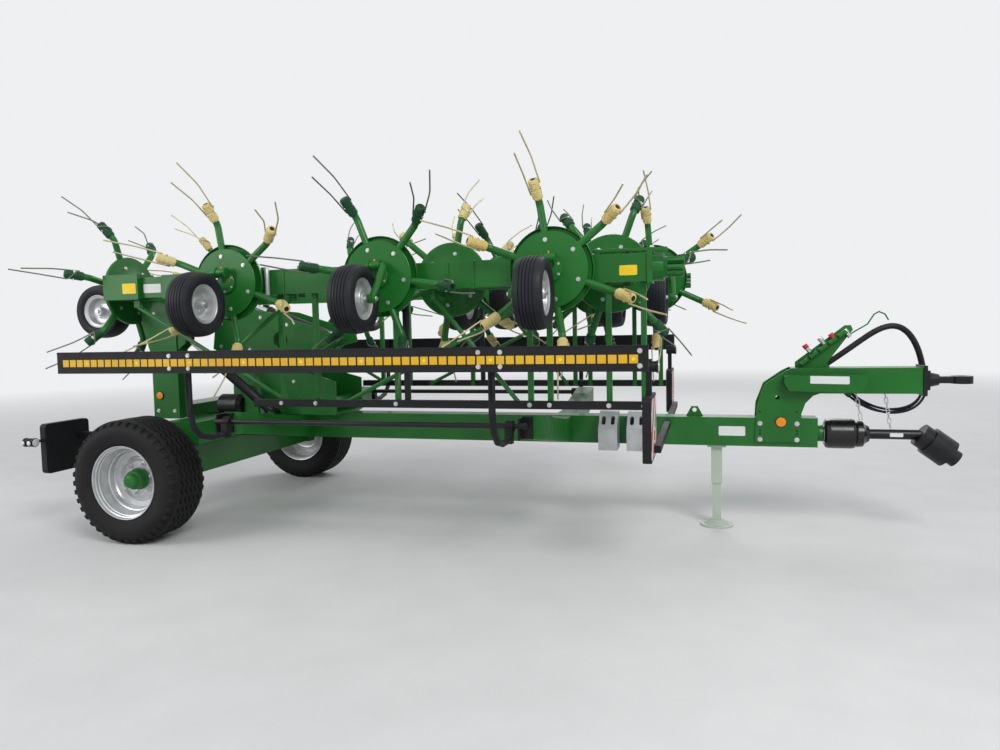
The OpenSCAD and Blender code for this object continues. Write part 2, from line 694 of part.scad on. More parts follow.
module drawbar_eye() {
    z = neck_z + neck_h / 2;
    y = beam_w / 2 + neck_t + 8;
    color([0.07, 0.07, 0.08]) placed() difference() {
        union() {
            block([neck_front, -y, neck_z - 14], [neck_front + 24, y, neck_z + neck_h + 12]);
            block([neck_front + 23, -64, z - 60], [neck_front + 46, 64, z + 60]);
            translate([neck_front + 45, 0, z]) rotate([0, 90, 0]) cylinder(h = 60, r1 = 48, r2 = 34);
            block([neck_front + 100, -34, z - 20], [EYE_X - eye_r - 10, 34, z + 20]);
            translate([EYE_X, 0, z - eye_t / 2]) cylinder(h = eye_t, r = eye_outer_r);
        }
        translate([EYE_X, 0, z - eye_t]) cylinder(h = 2 * eye_t, r = eye_r);
    }
}

// The shaft leaves the beam's end, runs in its guard and ends in a covered joint that hangs down.
module pto_shaft() {
    r = shaft_d / 2;
    end = [beam_front + 600, 0, pto_z];
    tip = [beam_front + 800, 0, pto_z - 150];
    color([0.1, 0.1, 0.1]) placed() {
        translate([beam_front, 0, pto_z]) rotate([0, 90, 0]) cylinder(h = 600, r = r);
        translate([beam_front, 0, pto_z]) rotate([0, 90, 0]) cylinder(h = 40, r = 52);
        bar(end - [6, 0, -4], end + 0.35 * (tip - end), 150);
        bar(end + 0.22 * (tip - end), end + 0.78 * (tip - end), 180);
        bar(end + 0.76 * (tip - end), tip, 104);
    }
}

module pto_guard() {
    bore = shaft_d / 2 + SHAFT_GAP;
    r = shaft_guard_d / 2;
    l = shaft_guard_l;
    color([0.03, 0.03, 0.03]) placed() translate([beam_front + 44, 0, pto_z]) rotate([0, 90, 0]) rotate_extrude()
        polygon([[bore, 0], [r - 22, 0], [r - 4, 10], [r, 34], [r, 0.62 * l], [r - 4, 0.68 * l], [r - 16, 0.7 * l],
            [r - 10, 0.74 * l], [r - 14, 0.86 * l], [r - 34, 0.92 * l], [r - 46, l], [bore, l]]);
}

module jack_tube() {
    w = jack_w / 2;
    inner = jack_leg_w / 2 + SLIDE_GAP;
    color([0.6, 0.66, 0.6]) placed() translate([jack_x, 0, 0]) difference() {
        union() {
            block([-w, -w, 290], [w, w, beam_z]);
            block([-w - 25, -w - 25, beam_z - 14], [w + 25, w + 25, beam_z]);
        }
        block([-inner, -inner, 280], [inner, inner, beam_z + 1]);
    }
}

module jack_leg() {
    w = jack_leg_w / 2;
    color([0.65, 0.7, 0.65]) placed() translate([jack_x, 0, 0]) {
        block([-w, -w, 30], [w, w, 375]);
        cylinder(h = 12, r = jack_foot_r);
        translate([0, 0, 11]) cylinder(h = 30, r1 = jack_foot_r - 20, r2 = 42);
    }
}

// Posts of a wing's guard rail along X, and its braces as pairs of X and Z.
RAIL_POSTS = [930, 1180, 1740, 2600, 2720, 3070, 3270];
BRACES = [
    [[952, 889], [-200, 1548]],
    [[1374, 889], [2600, 1493]],
    [[2530, 889], [1990, 1545]],
    [[1020, 1572], [450, 1150]]
];

// Fine joint between tubes that are welded end to side, so each stays a plain form.
SEAM = 0.3;

module rail_brace(ends, y, d) {
    bar([ends[0].x, y, ends[0].y], [ends[1].x, y, ends[1].y], d);
}

module guard_rails(side) {
    y = side * wing_y;
    foot = rotor_z - wing_h / 2;
    for (x = RAIL_POSTS) block([x - POST_R, y - POST_R, rail_z + 4], [x + POST_R, y + POST_R, foot]);
    for (i = [0 : len(BRACES) - 1]) difference() {
        rail_brace(BRACES[i], y, post_w - 4);
        for (x = [RAIL_POSTS[2], RAIL_POSTS[3]])
            block([x - POST_R - SEAM, y - POST_R - 1, rail_z], [x + POST_R + SEAM, y + POST_R + 1, foot + 1]);
        if (i > 1) rail_brace(BRACES[1], y, post_w - 4 + 2 * SEAM);
    }
    block([-215, y - POST_R, 1540], [-165, y + POST_R, foot - 4]);
    block([1000, y - POST_R, 1550], [1040, y + POST_R, foot]);
    block([1974, y - POST_R, 1530], [2008, y + POST_R, foot]);
    for (x = [1374, 2530])
        block([x - POST_R, y - POST_R, rail_z + 4], [x + POST_R, y + POST_R, rail_z + rail_h - 4]);
}

// The black rails are bolted to the outer faces of the posts.
module guard_tubes() {
    color([0.07, 0.07, 0.08]) placed() for (side = [-1, 1]) {
        y_in = side * (wing_y + POST_R);
        y_out = y_in + side * rail_t;
        block([724, min(y_in, y_out), rail_z], [3310, max(y_in, y_out), rail_z + rail_h]);
        block([1800, min(y_in, y_out), rail_z + rail_h + SEAM], [1836, max(y_in, y_out), rotor_z - wing_h / 2]);
    }
}

module guard_rails_right() {
    color([0.2, 0.5, 0.22]) placed() guard_rails(-1);
}

module guard_rails_left() {
    color([0.2, 0.5, 0.22]) placed() guard_rails(1);
}

// Places along X where the side boards' tubes stand.
BOARD_TUBES = [690, 2540];

// Pivot pipes of the side boards, with the plates that hold them on the outriggers.
module board_carrier() {
    color([0.1, 0.1, 0.1]) placed() for (s = [-1, 1]) {
        bar([600, s * pivot_y, pivot_z], [2640, s * pivot_y, pivot_z], pivot_d);
        for (x = OUTRIGGERS) {
            y_in = s * (pivot_y - 96);
            y_out = s * (pivot_y + 4);
            block([x - 64, min(y_in, y_out), pivot_z - 84], [x - 52, max(y_in, y_out), pivot_z + 44]);
            block([x - 64, min(y_in, y_in + s * 16), pivot_z - 84],
                [x + 2, max(y_in, y_in + s * 16), pivot_z + 44]);
        }
    }
}

module side_board(side) {
    y = side * board_y;
    inner_face = side * (board_y - 22);
    tube_y = side * (board_y - 40);
    clamp_y = side * (pivot_y + 40);
    color([0.06, 0.06, 0.06]) placed() {
        block([-board_rear, min(y, inner_face), board_z], [board_front, max(y, inner_face), board_z + board_h]);
        for (x = BOARD_TUBES) {
            bent_bar([[x, tube_y, board_z + board_h - 10], [x, tube_y, pivot_z + 110],
                [x, tube_y - side * 24, pivot_z + 10], [x, tube_y - side * 90, pivot_z - 50],
                [x, tube_y - side * 190, pivot_z - 74], [x, clamp_y, pivot_z - 74]], 38);
            difference() {
                union() {
                    translate([x, side * pivot_y, pivot_z]) rotate([0, 90, 0])
                        cylinder(h = 44, d = pivot_d + 32, center = true);
                    block([x - 22, min(clamp_y - side * 38, clamp_y + side * 6), pivot_z - 96],
                        [x + 22, max(clamp_y - side * 38, clamp_y + side * 6), pivot_z - 8]);
                }
                translate([x, side * pivot_y, pivot_z]) rotate([0, 90, 0])
                    cylinder(h = 60, d = pivot_d + 2 * hub_gap, center = true);
            }
        }
    }
}

module side_board_right() {
    side_board(-1);
}

module side_board_left() {
    side_board(1);
}

// Panels in their casings on a cross tube behind the tower, each with a lamp on its outer edge.
module rear_panels() {
    x = -rear_panel_x;
    z = rear_panel_z + 0.68 * panel_h;
    color([0.1, 0.1, 0.1]) placed() {
        block([-beam_rear - 50, -860, z - 30], [-beam_rear, 860, z + 30]);
        for (s = [-1, 1]) {
            y = s * rear_panel_y;
            lamp_y = y + s * (panel_w / 2 + 96);
            soft_panel([x, y - panel_w / 2, rear_panel_z],
                [x + panel_t, y + panel_w / 2, rear_panel_z + panel_h], PANEL_CORNER);
            block([x + panel_t - 1, s * 830 - 20, z - 20], [-beam_rear - 49, s * 830 + 20, z + 20]);
            bar([x + 22, y + s * (panel_w / 2 - 10), z], [x + 22, lamp_y, z], 20);
            bar([x - 12, lamp_y, z], [x + 56, lamp_y, z], 56);
        }
    }
}

// Front panels on cranked arms, each with an upright that holds its lamp.
module front_panels() {
    x = front_panel_x - panel_t;
    top = front_panel_z + panel_h;
    color([0.1, 0.1, 0.1]) placed() for (s = [-1, 1]) {
        y = s * front_panel_y;
        y_low = min(s * (beam_w / 2), y);
        y_high = max(s * (beam_w / 2), y);
        soft_panel([x, y - panel_w / 2, front_panel_z], [front_panel_x, y + panel_w / 2, top], PANEL_CORNER);
        block([x + 6, y - 20, top - 1], [x + 36, y + 20, top + 190]);
        bar([x - 6, y, top + 150], [x + 62, y, top + 150], 58);
        block([front_panel_x - 1, y_low, front_panel_z + 30], [front_panel_x + 36, y_high, front_panel_z + 70]);
    }
}

// Inclined bar with a row of parked hose couplings.
module hose_holder() {
    top = neck_z + neck_h;
    foot_x = beam_front - 130;
    low = [foot_x + 30, top + 18];
    high = [foot_x + 320, 1300];
    way = high - low;
    lean = atan2(way.y, way.x);
    color([0.2, 0.5, 0.22]) placed() {
        side_plate([[foot_x, top], [foot_x + 170, top], [foot_x + 340, 1290], [foot_x + 328, 1318],
            [foot_x + 292, 1318], [foot_x, top + 36]], 0, 10);
        for (k = [0 : 4]) translate([low.x + (0.12 + 0.19 * k) * way.x, 0, low.y + (0.12 + 0.19 * k) * way.y])
            rotate([0, -lean - 90, 0]) translate([0, 0, -14]) {
                translate([0, -32, 0]) cylinder(h = 54, r = 15);
                block([-15, -33, 6], [15, -4, 20]);
            }
        bent_bar(ROD_ROUTE, rod_d);
    }
}

// Folded holders for the wheel chocks, with two slots in their sloping tops.
module chock_holders() {
    back = beam_w / 2;
    color([0.72, 0.73, 0.74]) placed() for (x = [chock_x, chock_x + chock_step]) difference() {
        cross_plate([[-back, beam_z - 24], [-back - 160, beam_z - 24], [-back - 160, beam_z + 116],
            [-back - 62, BEAM_TOP + 38], [-back, BEAM_TOP + 38]], x, 124);
        translate([x, -back - 111, (beam_z + BEAM_TOP) / 2 + 77]) rotate([47, 0, 0]) for (side = [-1, 1])
            translate([side * 30, 0, -14]) linear_extrude(40) hull() for (k = [-1, 1])
                translate([0, k * 22]) circle(13);
    }
}

module oil_tank() {
    color([0.08, 0.08, 0.08]) placed() translate([110, -300, BEAM_TOP + 80]) rotate([0, 90, 0]) {
        cylinder(h = 150, r = 80);
        translate([0, 0, 149]) cylinder(h = 24, r1 = 80, r2 = 52);
    }
}

// One oval link of a chain, from a to b, with its flat side turned by roll.
module link(a, b, roll) {
    v = b - a;
    l = norm(v);
    w = 9;
    translate(a) rotate([0, acos(v.z / l), atan2(v.y, v.x)]) rotate([0, 0, roll])
        bent_bar([[0, -w, 4], [0, -w, l - 4], [0, w, l - 4], [0, w, 4], [0, -w, 4], [0, -w, 12]], 6);
}

// Chains that hold the shaft up under the gooseneck.
module shaft_chains() {
    color([0.75, 0.76, 0.78]) placed() for (c = [
        [[4522, 0, neck_z - 3], [4552, 0, pto_z + shaft_guard_d / 2 - 3], 4],
        [[4688, 0, neck_z - 2.3], [4722, 0, pto_z + shaft_d / 2 + 6], 7]
    ]) for (k = [0 : c[2] - 1]) {
        step = (c[1] - c[0]) / c[2];
        link(c[0] + k * step - 0.08 * step, c[0] + (k + 1.08) * step, 90 * (k % 2));
    }
}

// Hoses in one bundle: from the holder over the rod, down at the gooseneck's front and back under it.
module hose_bundle() {
    color([0.05, 0.05, 0.05]) placed() tube_along(HOSE_ROUTE, bundle_d, 10);
}

chassis_beam();
axle_beam();
gooseneck();
drawbar_eye();
pto_shaft();
pto_guard();
jack_tube();
jack_leg();
lift_tower();
tilt_cylinder();
centre_beam();
wing_beam_right();
wing_beam_left();
inner_beam_right();
inner_beam_left();
foot_brackets_right();
foot_brackets_left();
foot_brackets_rear();
guard_rails_right();
guard_rails_left();
board_carrier();
side_board_right();
side_board_left();
rear_panels();
front_panels();
hose_holder();
chock_holders();
oil_tank();
guard_tubes();
shaft_chains();
hose_bundle();
tyre_right();
rim_right();
tyre_left();
rim_left();
rotor(0);  // rotor_right_1
rotor(1);  // rotor_right_2
rotor(2);  // rotor_right_3
rotor(3);  // rotor_right_4
rotor(4);  // rotor_right_5
rotor(5);  // rotor_rear_right
rotor(6);  // rotor_rear_left
rotor(7);  // rotor_left_1
rotor(8);  // rotor_left_2
rotor(9);  // rotor_left_3
rotor(10);  // rotor_left_4
rotor(11);  // rotor_left_5
foot_wheel(0);  // foot_wheel_right_1
foot_wheel(1);  // foot_wheel_right_2
foot_wheel(2);  // foot_wheel_right_3
foot_wheel(3);  // foot_wheel_right_4
foot_wheel(4);  // foot_wheel_right_5
foot_wheel(5);  // foot_wheel_rear_right
foot_wheel(6);  // foot_wheel_rear_left
foot_wheel(7);  // foot_wheel_left_1
foot_wheel(8);  // foot_wheel_left_2
foot_wheel(9);  // foot_wheel_left_3
foot_wheel(10);  // foot_wheel_left_4
foot_wheel(11);  // foot_wheel_left_5
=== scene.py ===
import math

import bmesh
import bpy
from mathutils import Matrix, Vector


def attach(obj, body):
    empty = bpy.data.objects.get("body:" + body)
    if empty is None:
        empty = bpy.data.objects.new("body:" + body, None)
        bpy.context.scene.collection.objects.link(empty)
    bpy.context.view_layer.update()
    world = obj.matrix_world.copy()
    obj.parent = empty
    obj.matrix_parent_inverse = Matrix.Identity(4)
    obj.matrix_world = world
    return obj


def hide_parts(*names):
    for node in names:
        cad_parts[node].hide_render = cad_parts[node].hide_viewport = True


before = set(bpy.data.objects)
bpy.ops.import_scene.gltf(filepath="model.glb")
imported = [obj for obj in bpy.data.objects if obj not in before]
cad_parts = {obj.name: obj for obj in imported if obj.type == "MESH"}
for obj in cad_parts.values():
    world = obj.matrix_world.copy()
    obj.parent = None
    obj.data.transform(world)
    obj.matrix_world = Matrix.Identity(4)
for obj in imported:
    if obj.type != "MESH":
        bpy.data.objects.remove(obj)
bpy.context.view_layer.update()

axleX = -2.108  # the road wheels' line in this frame


def at(x, y, z):
    return Vector((x + axleX, y, z))  # a place counted from the wheels' line


# Camera, as the photograph was taken
camera = {"place": (3.6227, -5.1125, 1.3655), "yaw": 0.2732, "pitch": -0.067, "roll": -0.0215, "lens": 26.8}


def makeCamera(c):
    level = Vector((-math.sin(c["yaw"]), math.cos(c["yaw"]), 0))
    side = Vector((math.cos(c["yaw"]), math.sin(c["yaw"]), 0))
    up = Vector((0, 0, 1))
    ahead = level * math.cos(c["pitch"]) + up * math.sin(c["pitch"])
    top = up * math.cos(c["pitch"]) - level * math.sin(c["pitch"])
    right = side * math.cos(c["roll"]) + top * math.sin(c["roll"])
    top = top * math.cos(c["roll"]) - side * math.sin(c["roll"])
    data = bpy.data.cameras.new("camera")
    data.lens = c["lens"]
    data.sensor_width = 36
    data.clip_end = 200
    eye = bpy.data.objects.new("camera", data)
    turn = Matrix((right, top, -ahead)).transposed().to_4x4()
    eye.matrix_world = Matrix.Translation(at(*c["place"])) @ turn
    bpy.context.scene.collection.objects.link(eye)
    bpy.context.scene.camera = eye


makeCamera(camera)
print("camera set")


class Link:  # a shader socket that takes part in sums
    def __init__(self, paint, socket):
        self.paint = paint
        self.socket = socket

    def sum(self, operation, first, second):
        return self.paint.node("ShaderNodeMath", {"operation": operation}, (first, second))

    def __add__(self, other):
        return self.sum("ADD", self, other)

    def __sub__(self, other):
        return self.sum("SUBTRACT", self, other)

    def __mul__(self, other):
        return self.sum("MULTIPLY", self, other)

    def __truediv__(self, other):
        return self.sum("DIVIDE", self, other)

    def __radd__(self, other):
        return self.sum("ADD", other, self)

    def __rsub__(self, other):
        return self.sum("SUBTRACT", other, self)

    def __rmul__(self, other):
        return self.sum("MULTIPLY", other, self)

    def __gt__(self, other):
        return self.sum("GREATER_THAN", self, other)

    def __lt__(self, other):
        return self.sum("LESS_THAN", self, other)

    def __mod__(self, other):
        return self.sum("WRAP", self, (other, 0))

    def __abs__(self):
        return self.sum("ABSOLUTE", self, 0)


class Paint:  # a material and its nodes
    def __init__(self, name):
        self.material = bpy.data.materials.new(name)
        self.material.use_nodes = True
        self.tree = self.material.node_tree
        self.shader = self.tree.nodes["Principled BSDF"]

    def node(self, kind, settings=None, values=(), output=0):
        made = self.tree.nodes.new(kind)
        for key, value in (settings or {}).items():
            if key == "stops":
                ramp = made.color_ramp.elements
                for i, (place, colour) in enumerate(value):
                    stop = ramp[i] if i < len(ramp) else ramp.new(place)
                    stop.position = place
                    stop.color = (*colour, 1)
            else:
                setattr(made, key, value)
        pairs = values.items() if isinstance(values, dict) else enumerate(values)
        for key, value in pairs:
            self.feed(made.inputs[key], value)
        return Link(self, made.outputs[output])

    def feed(self, socket, value):
        if isinstance(value, Link):
            self.tree.links.new(value.socket, socket)
        elif isinstance(value, (tuple, list)) and socket.type == "RGBA" and len(value) == 3:
            socket.default_value = (*value, 1)
        else:
            socket.default_value = value

    def set(self, **values):
        for key, value in values.items():
            self.feed(self.shader.inputs[key.replace("_", " ")], value)
        return self

    def place(self):
        return self.node("ShaderNodeTexCoord", output=3)

    def axis(self, which):
        return self.node("ShaderNodeSeparateXYZ", {}, (self.place(),), which)

    def noise(self, scale, detail=3, roughness=0.55, stretch=None):
        where = self.place()
        if stretch:
            where = self.node("ShaderNodeMapping", {}, {"Vector": where, "Scale": stretch})
        return self.node("ShaderNodeTexNoise", {}, {
            "Vector": where, "Scale": scale, "Detail": detail, "Roughness": roughness})

    def ramp(self, value, low, high):
        return self.node("ShaderNodeMapRange", {"clamp": True}, (value, low, high, 0.0, 1.0))

    def mix(self, factor, first, second):
        return self.node("ShaderNodeMix", {"data_type": "RGBA"}, {0: factor, 6: first, 7: second}, 2)

    def bump(self, height, strength, distance=0.001):
        return self.node("ShaderNodeBump", {}, {"Strength": strength, "Distance": distance, "Height": height})


paints = {
    "green": {"base": (0.0065, 0.118, 0.012), "light": (0.011, 0.148, 0.018), "rough": 0.34, "coat": 0.15},
    "cream": {"base": (0.66, 0.53, 0.19), "light": (0.75, 0.64, 0.28), "rough": 0.5, "coat": 0.0},
    "moss": {"base": (0.008, 0.062, 0.02), "light": (0.014, 0.085, 0.03), "rough": 0.5, "coat": 0.0},
    "black": {"base": (0.0045, 0.005, 0.006), "light": (0.007, 0.0075, 0.0085), "rough": 0.36, "coat": 0.1},
    "panel": {"base": (0.004, 0.0045, 0.006), "light": (0.006, 0.007, 0.009), "rough": 0.55, "coat": 0.0},
    "guard": {"base": (0.006, 0.006, 0.007), "light": (0.011, 0.011, 0.012), "rough": 0.2, "coat": 0.3},
    "pale": {"base": (0.42, 0.48, 0.41), "light": (0.50, 0.56, 0.48), "rough": 0.45, "coat": 0.1},
    "label": {"base": (0.72, 0.73, 0.72), "light": (0.80, 0.80, 0.79), "rough": 0.45, "coat": 0.0},
    "yellow": {"base": (0.85, 0.58, 0.02), "light": (0.92, 0.66, 0.05), "rough": 0.4, "coat": 0.0},
    "red": {"base": (0.52, 0.012, 0.012), "light": (0.6, 0.02, 0.018), "rough": 0.35, "coat": 0.2},
    "amber": {"base": (0.86, 0.26, 0.008), "light": (0.95, 0.34, 0.015), "rough": 0.22, "coat": 0.3},
}


def plainPaint(name, base, light, rough, coat):
    paint = Paint(name)
    cloud = paint.noise(2.6, 4)
    dust = paint.ramp(paint.noise(38, 5, 0.65), 0.56, 0.78)
    low = paint.ramp(paint.axis(2), 1.0, 0.35)
    colour = paint.mix(paint.ramp(cloud, 0.35, 0.65), base, light)
    dirt = tuple(0.6 * c + 0.4 * d for c, d in zip(base, (0.22, 0.2, 0.16)))
    colour = paint.mix(dust * (0.06 + low * 0.16), colour, dirt)
    peel = paint.noise(420, 2)
    normal = paint.bump(peel + cloud * 0.6, 0.05, 0.0006)
    scuff = paint.ramp(paint.noise(16, 4), 0.4, 0.7)
    return paint.set(Base_Color=colour, Roughness=rough + scuff * 0.12 + dust * 0.1, Normal=normal,
                     Coat_Weight=coat, Specular_IOR_Level=0.3).material


paint = {name: plainPaint(name + "Paint", **values) for name, values in paints.items()}


def metalPaint(name, base, rough, metallic, grain):
    coat = Paint(name)
    cloud = coat.noise(9, 4)
    fine = coat.noise(grain, 3)
    dull = tuple(c * 0.72 for c in base)
    return coat.set(Base_Color=coat.mix(coat.ramp(cloud, 0.35, 0.7), base, dull), Metallic=metallic,
                    Roughness=rough + coat.ramp(fine, 0.3, 0.7) * 0.14,
                    Normal=coat.bump(fine, 0.06, 0.0004)).material


paint["silver"] = metalPaint("silverPaint", (0.62, 0.63, 0.64), 0.28, 0.55, 120)
paint["zinc"] = metalPaint("zincPlate", (0.70, 0.71, 0.70), 0.3, 0.8, 60)
paint["galvanised"] = metalPaint("galvanisedSheet", (0.52, 0.54, 0.55), 0.42, 0.6, 26)
paint["paleWire"] = metalPaint("paleWire", (0.66, 0.58, 0.36), 0.4, 0.25, 90)
paint["darkWire"] = metalPaint("darkWire", (0.17, 0.20, 0.14), 0.42, 0.3, 90)


def rubberPaint(name, base, dusty, grain, rough):
    rubber = Paint(name)
    dust = rubber.ramp(rubber.noise(7, 6, 0.7), 0.4, 0.75)
    fine = rubber.noise(grain, 3)
    return rubber.set(Base_Color=rubber.mix(dust * 0.55, base, dusty), Roughness=rough + dust * 0.18,
                      Normal=rubber.bump(fine, 0.25, 0.0012), Specular_IOR_Level=0.2).material


paint["tyre"] = rubberPaint("tyreRubber", (0.0075, 0.0075, 0.0085), (0.026, 0.025, 0.024), 160, 0.6)
paint["slate"] = rubberPaint("footTyreRubber", (0.013, 0.014, 0.017), (0.030, 0.031, 0.036), 160, 0.46)
paint["hose"] = rubberPaint("hoseRubber", (0.012, 0.012, 0.013), (0.04, 0.04, 0.04), 500, 0.42)


def stripedPanel():
    panel = Paint("stripedPanel")  # retroreflective red and white bars on the slant
    barWidth = 0.2
    slant = (panel.axis(2) + abs(panel.axis(1))) * (1 / barWidth)
    bars = panel.node("ShaderNodeMath", {"operation": "FRACT"}, (slant + 40,)) > 0.5
    cells = panel.node("ShaderNodeTexVoronoi", {}, {"Vector": panel.place(), "Scale": 260})
    colour = panel.mix(bars, (0.55, 0.012, 0.012), (0.75, 0.75, 0.74))
    return panel.set(Base_Color=panel.mix(cells * 0.25, colour, (0.3, 0.3, 0.3)),
                     Roughness=0.32 + cells * 0.2, Normal=panel.bump(cells, 0.12, 0.0004)).material


def reflectiveSquare():
    foil = Paint("yellowFoil")
    cells = foil.node("ShaderNodeTexVoronoi", {}, {"Vector": foil.place(), "Scale": 330})
    cloud = foil.noise(3, 3)
    colour = foil.mix(foil.ramp(cloud, 0.3, 0.7), (0.66, 0.38, 0.004), (0.78, 0.47, 0.008))
    return foil.set(Base_Color=foil.mix(cells * 0.3, colour, (0.46, 0.23, 0.004)),
                    Roughness=0.3 + cells * 0.15, Normal=foil.bump(cells, 0.1, 0.0004)).material


def lampGlass():
    glass = Paint("lampGlass")
    rings = glass.node("ShaderNodeTexVoronoi", {}, {"Vector": glass.place(), "Scale": 90})
    return glass.set(Base_Color=glass.mix(rings, (0.75, 0.75, 0.74), (0.5, 0.5, 0.5)), Roughness=0.12,
                     Coat_Weight=0.8, Normal=glass.bump(rings, 0.3, 0.001)).material


paint["striped"] = stripedPanel()
paint["foil"] = reflectiveSquare()
paint["lamp"] = lampGlass()
print("materials made:", len(paint))


def aim(a, b):
    along = Vector(b) - Vector(a)
    return Matrix.Translation(a) @ along.to_track_quat("Z", "Y").to_matrix().to_4x4(), along.length


def rounded(points, radius, steps=6):
    way = [Vector(p) for p in points]
    out = [way[0]]
    for before, corner, after in zip(way, way[1:], way[2:]):
        one = before - corner
        two = after - corner
        reach = min(radius, 0.45 * one.length, 0.45 * two.length)
        start = corner + one.normalized() * reach
        end = corner + two.normalized() * reach
        for k in range(steps + 1):
            t = k / steps
            out.append(start * (1 - t) ** 2 + corner * 2 * t * (1 - t) + end * t ** 2)
    return out + [way[-1]]


def bevelled(part, edges, width, segments=2):
    bmesh.ops.bevel(part, geom=edges, offset=width, segments=segments, affect="EDGES", profile=0.5,
                    material=-1)


class Piece:  # one object of the scene, put together from shapes
    def __init__(self):
        self.bm = bmesh.new()
        self.names = []
        self.slot = 0
        self.put = Matrix.Identity(4)

    def use(self, name):
        if name not in self.names:
            self.names.append(name)
        self.slot = self.names.index(name)
        return self

    def keep(self, part, matrix=None):
        bmesh.ops.transform(part, matrix=self.put @ (matrix or Matrix.Identity(4)), verts=part.verts)
        for face in part.faces:
            face.material_index = self.slot
            face.smooth = True
        scratch = bpy.data.meshes.new("scratch")
        part.to_mesh(scratch)
        part.free()
        self.bm.from_mesh(scratch)
        bpy.data.meshes.remove(scratch)
        return self

    def block(self, low, high, edge=0.002, matrix=None):
        part = bmesh.new()
        low = Vector(low)
        high = Vector(high)
        size = Matrix.Diagonal((*(high - low), 1))
        bmesh.ops.create_cube(part, size=1, matrix=Matrix.Translation((low + high) / 2) @ size)
        if edge:
            bevelled(part, part.edges[:], edge)
        return self.keep(part, matrix)

    def rod(self, a, b, radius, sides=20, tip=None, edge=0.0):
        part = bmesh.new()
        matrix, length = aim(a, b)
        middle = Matrix.Translation((0, 0, length / 2))
        bmesh.ops.create_cone(part, cap_ends=True, segments=sides, radius1=radius,
                              radius2=radius if tip is None else tip, depth=length, matrix=middle)
        if edge:
            rims = [e for e in part.edges if abs(e.verts[0].co.z - e.verts[1].co.z) < 1e-6]
            bevelled(part, rims, edge)
        return self.keep(part, matrix)

    def ball(self, centre, radius, scale=(1, 1, 1)):
        part = bmesh.new()
        bmesh.ops.create_uvsphere(part, u_segments=20, v_segments=12, radius=radius,
                                  matrix=Matrix.Translation(centre) @ Matrix.Diagonal((*scale, 1)))
        return self.keep(part)

    def tube(self, points, radius, sides=12, bend=0.05, steps=6, tip=None):
        way = rounded(points, bend, steps)
        part = bmesh.new()
        matrix = aim(way[0], way[1])[0]
        disc = bmesh.ops.create_circle(part, cap_ends=True, segments=sides, radius=radius, matrix=matrix)
        ring = disc["verts"]
        edges = [e for e in part.edges if all(v in ring for v in e.verts)]
        heading = (way[1] - way[0]).normalized()
        for i in range(1, len(way)):
            grown = bmesh.ops.extrude_edge_only(part, edges=edges)["geom"]
            ring = [g for g in grown if isinstance(g, bmesh.types.BMVert)]
            edges = [g for g in grown if isinstance(g, bmesh.types.BMEdge)]
            onward = way[min(i + 1, len(way) - 1)] - way[i - 1]
            onward.normalize()
            turn = heading.rotation_difference(onward).to_matrix().to_4x4()
            move = Matrix.Translation(way[i]) @ turn @ Matrix.Translation(-way[i - 1])
            bmesh.ops.transform(part, matrix=move, verts=ring)
            heading = onward
        if tip is not None:
            bmesh.ops.scale(part, vec=(tip, tip, tip), verts=ring, space=Matrix.Translation(-way[-1]))
        bmesh.ops.contextual_create(part, geom=edges)
        bmesh.ops.recalc_face_normals(part, faces=part.faces)
        return self.keep(part)

    def lathe(self, profile, matrix=None, steps=48, shape=None, closed=False):
        part = bmesh.new()
        points = [part.verts.new((r, 0, z)) for r, z in profile]
        pairs = list(zip(points, points[1:]))
        if closed:
            pairs.append((points[-1], points[0]))
        edges = [part.edges.new(p) for p in pairs]
        bmesh.ops.spin(part, geom=points + edges, cent=(0, 0, 0), axis=(0, 0, 1), angle=2 * math.pi,
                       steps=steps, use_merge=True)
        bmesh.ops.remove_doubles(part, verts=part.verts, dist=1e-6)
        bmesh.ops.recalc_face_normals(part, faces=part.faces)
        if shape:
            shape(part)
        return self.keep(part, matrix)

    def plate(self, outline, thickness, matrix=None, edge=0.0015):
        part = bmesh.new()
        face = part.faces.new([part.verts.new((x, y, 0)) for x, y in outline])
        grown = bmesh.ops.extrude_face_region(part, geom=[face])["geom"]
        top = [g for g in grown if isinstance(g, bmesh.types.BMVert)]
        bmesh.ops.translate(part, vec=(0, 0, thickness), verts=top)
        bmesh.ops.recalc_face_normals(part, faces=part.faces)
        if edge:
            bevelled(part, part.edges[:], edge, 1)
        return self.keep(part, matrix)

    def bolt(self, place, normal, size=0.011, washer=True):
        place = Vector(place)
        normal = Vector(normal).normalized()
        if washer:
            self.rod(place, place + normal * 0.2 * size, 1.25 * size, 14)
        self.rod(place, place + normal * 0.8 * size, size, 6, tip=0.97 * size)
        return self

    def finish(self, name, body, slot, replaced=(), sharp=35):
        mesh = bpy.data.meshes.new(name)
        self.bm.to_mesh(mesh)
        self.bm.free()
        return dress(mesh, self.names, name, body, replaced, sharp)


def dress(mesh, names, name, body, replaced=(), sharp=35):
    for n in names:
        mesh.materials.append(paint[n])
    mesh.set_sharp_from_angle(angle=math.radians(sharp))
    made = bpy.data.objects.new(name, mesh)
    bpy.context.scene.collection.objects.link(made)
    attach(made, body)
    if replaced:
        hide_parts(*replaced)
    return made


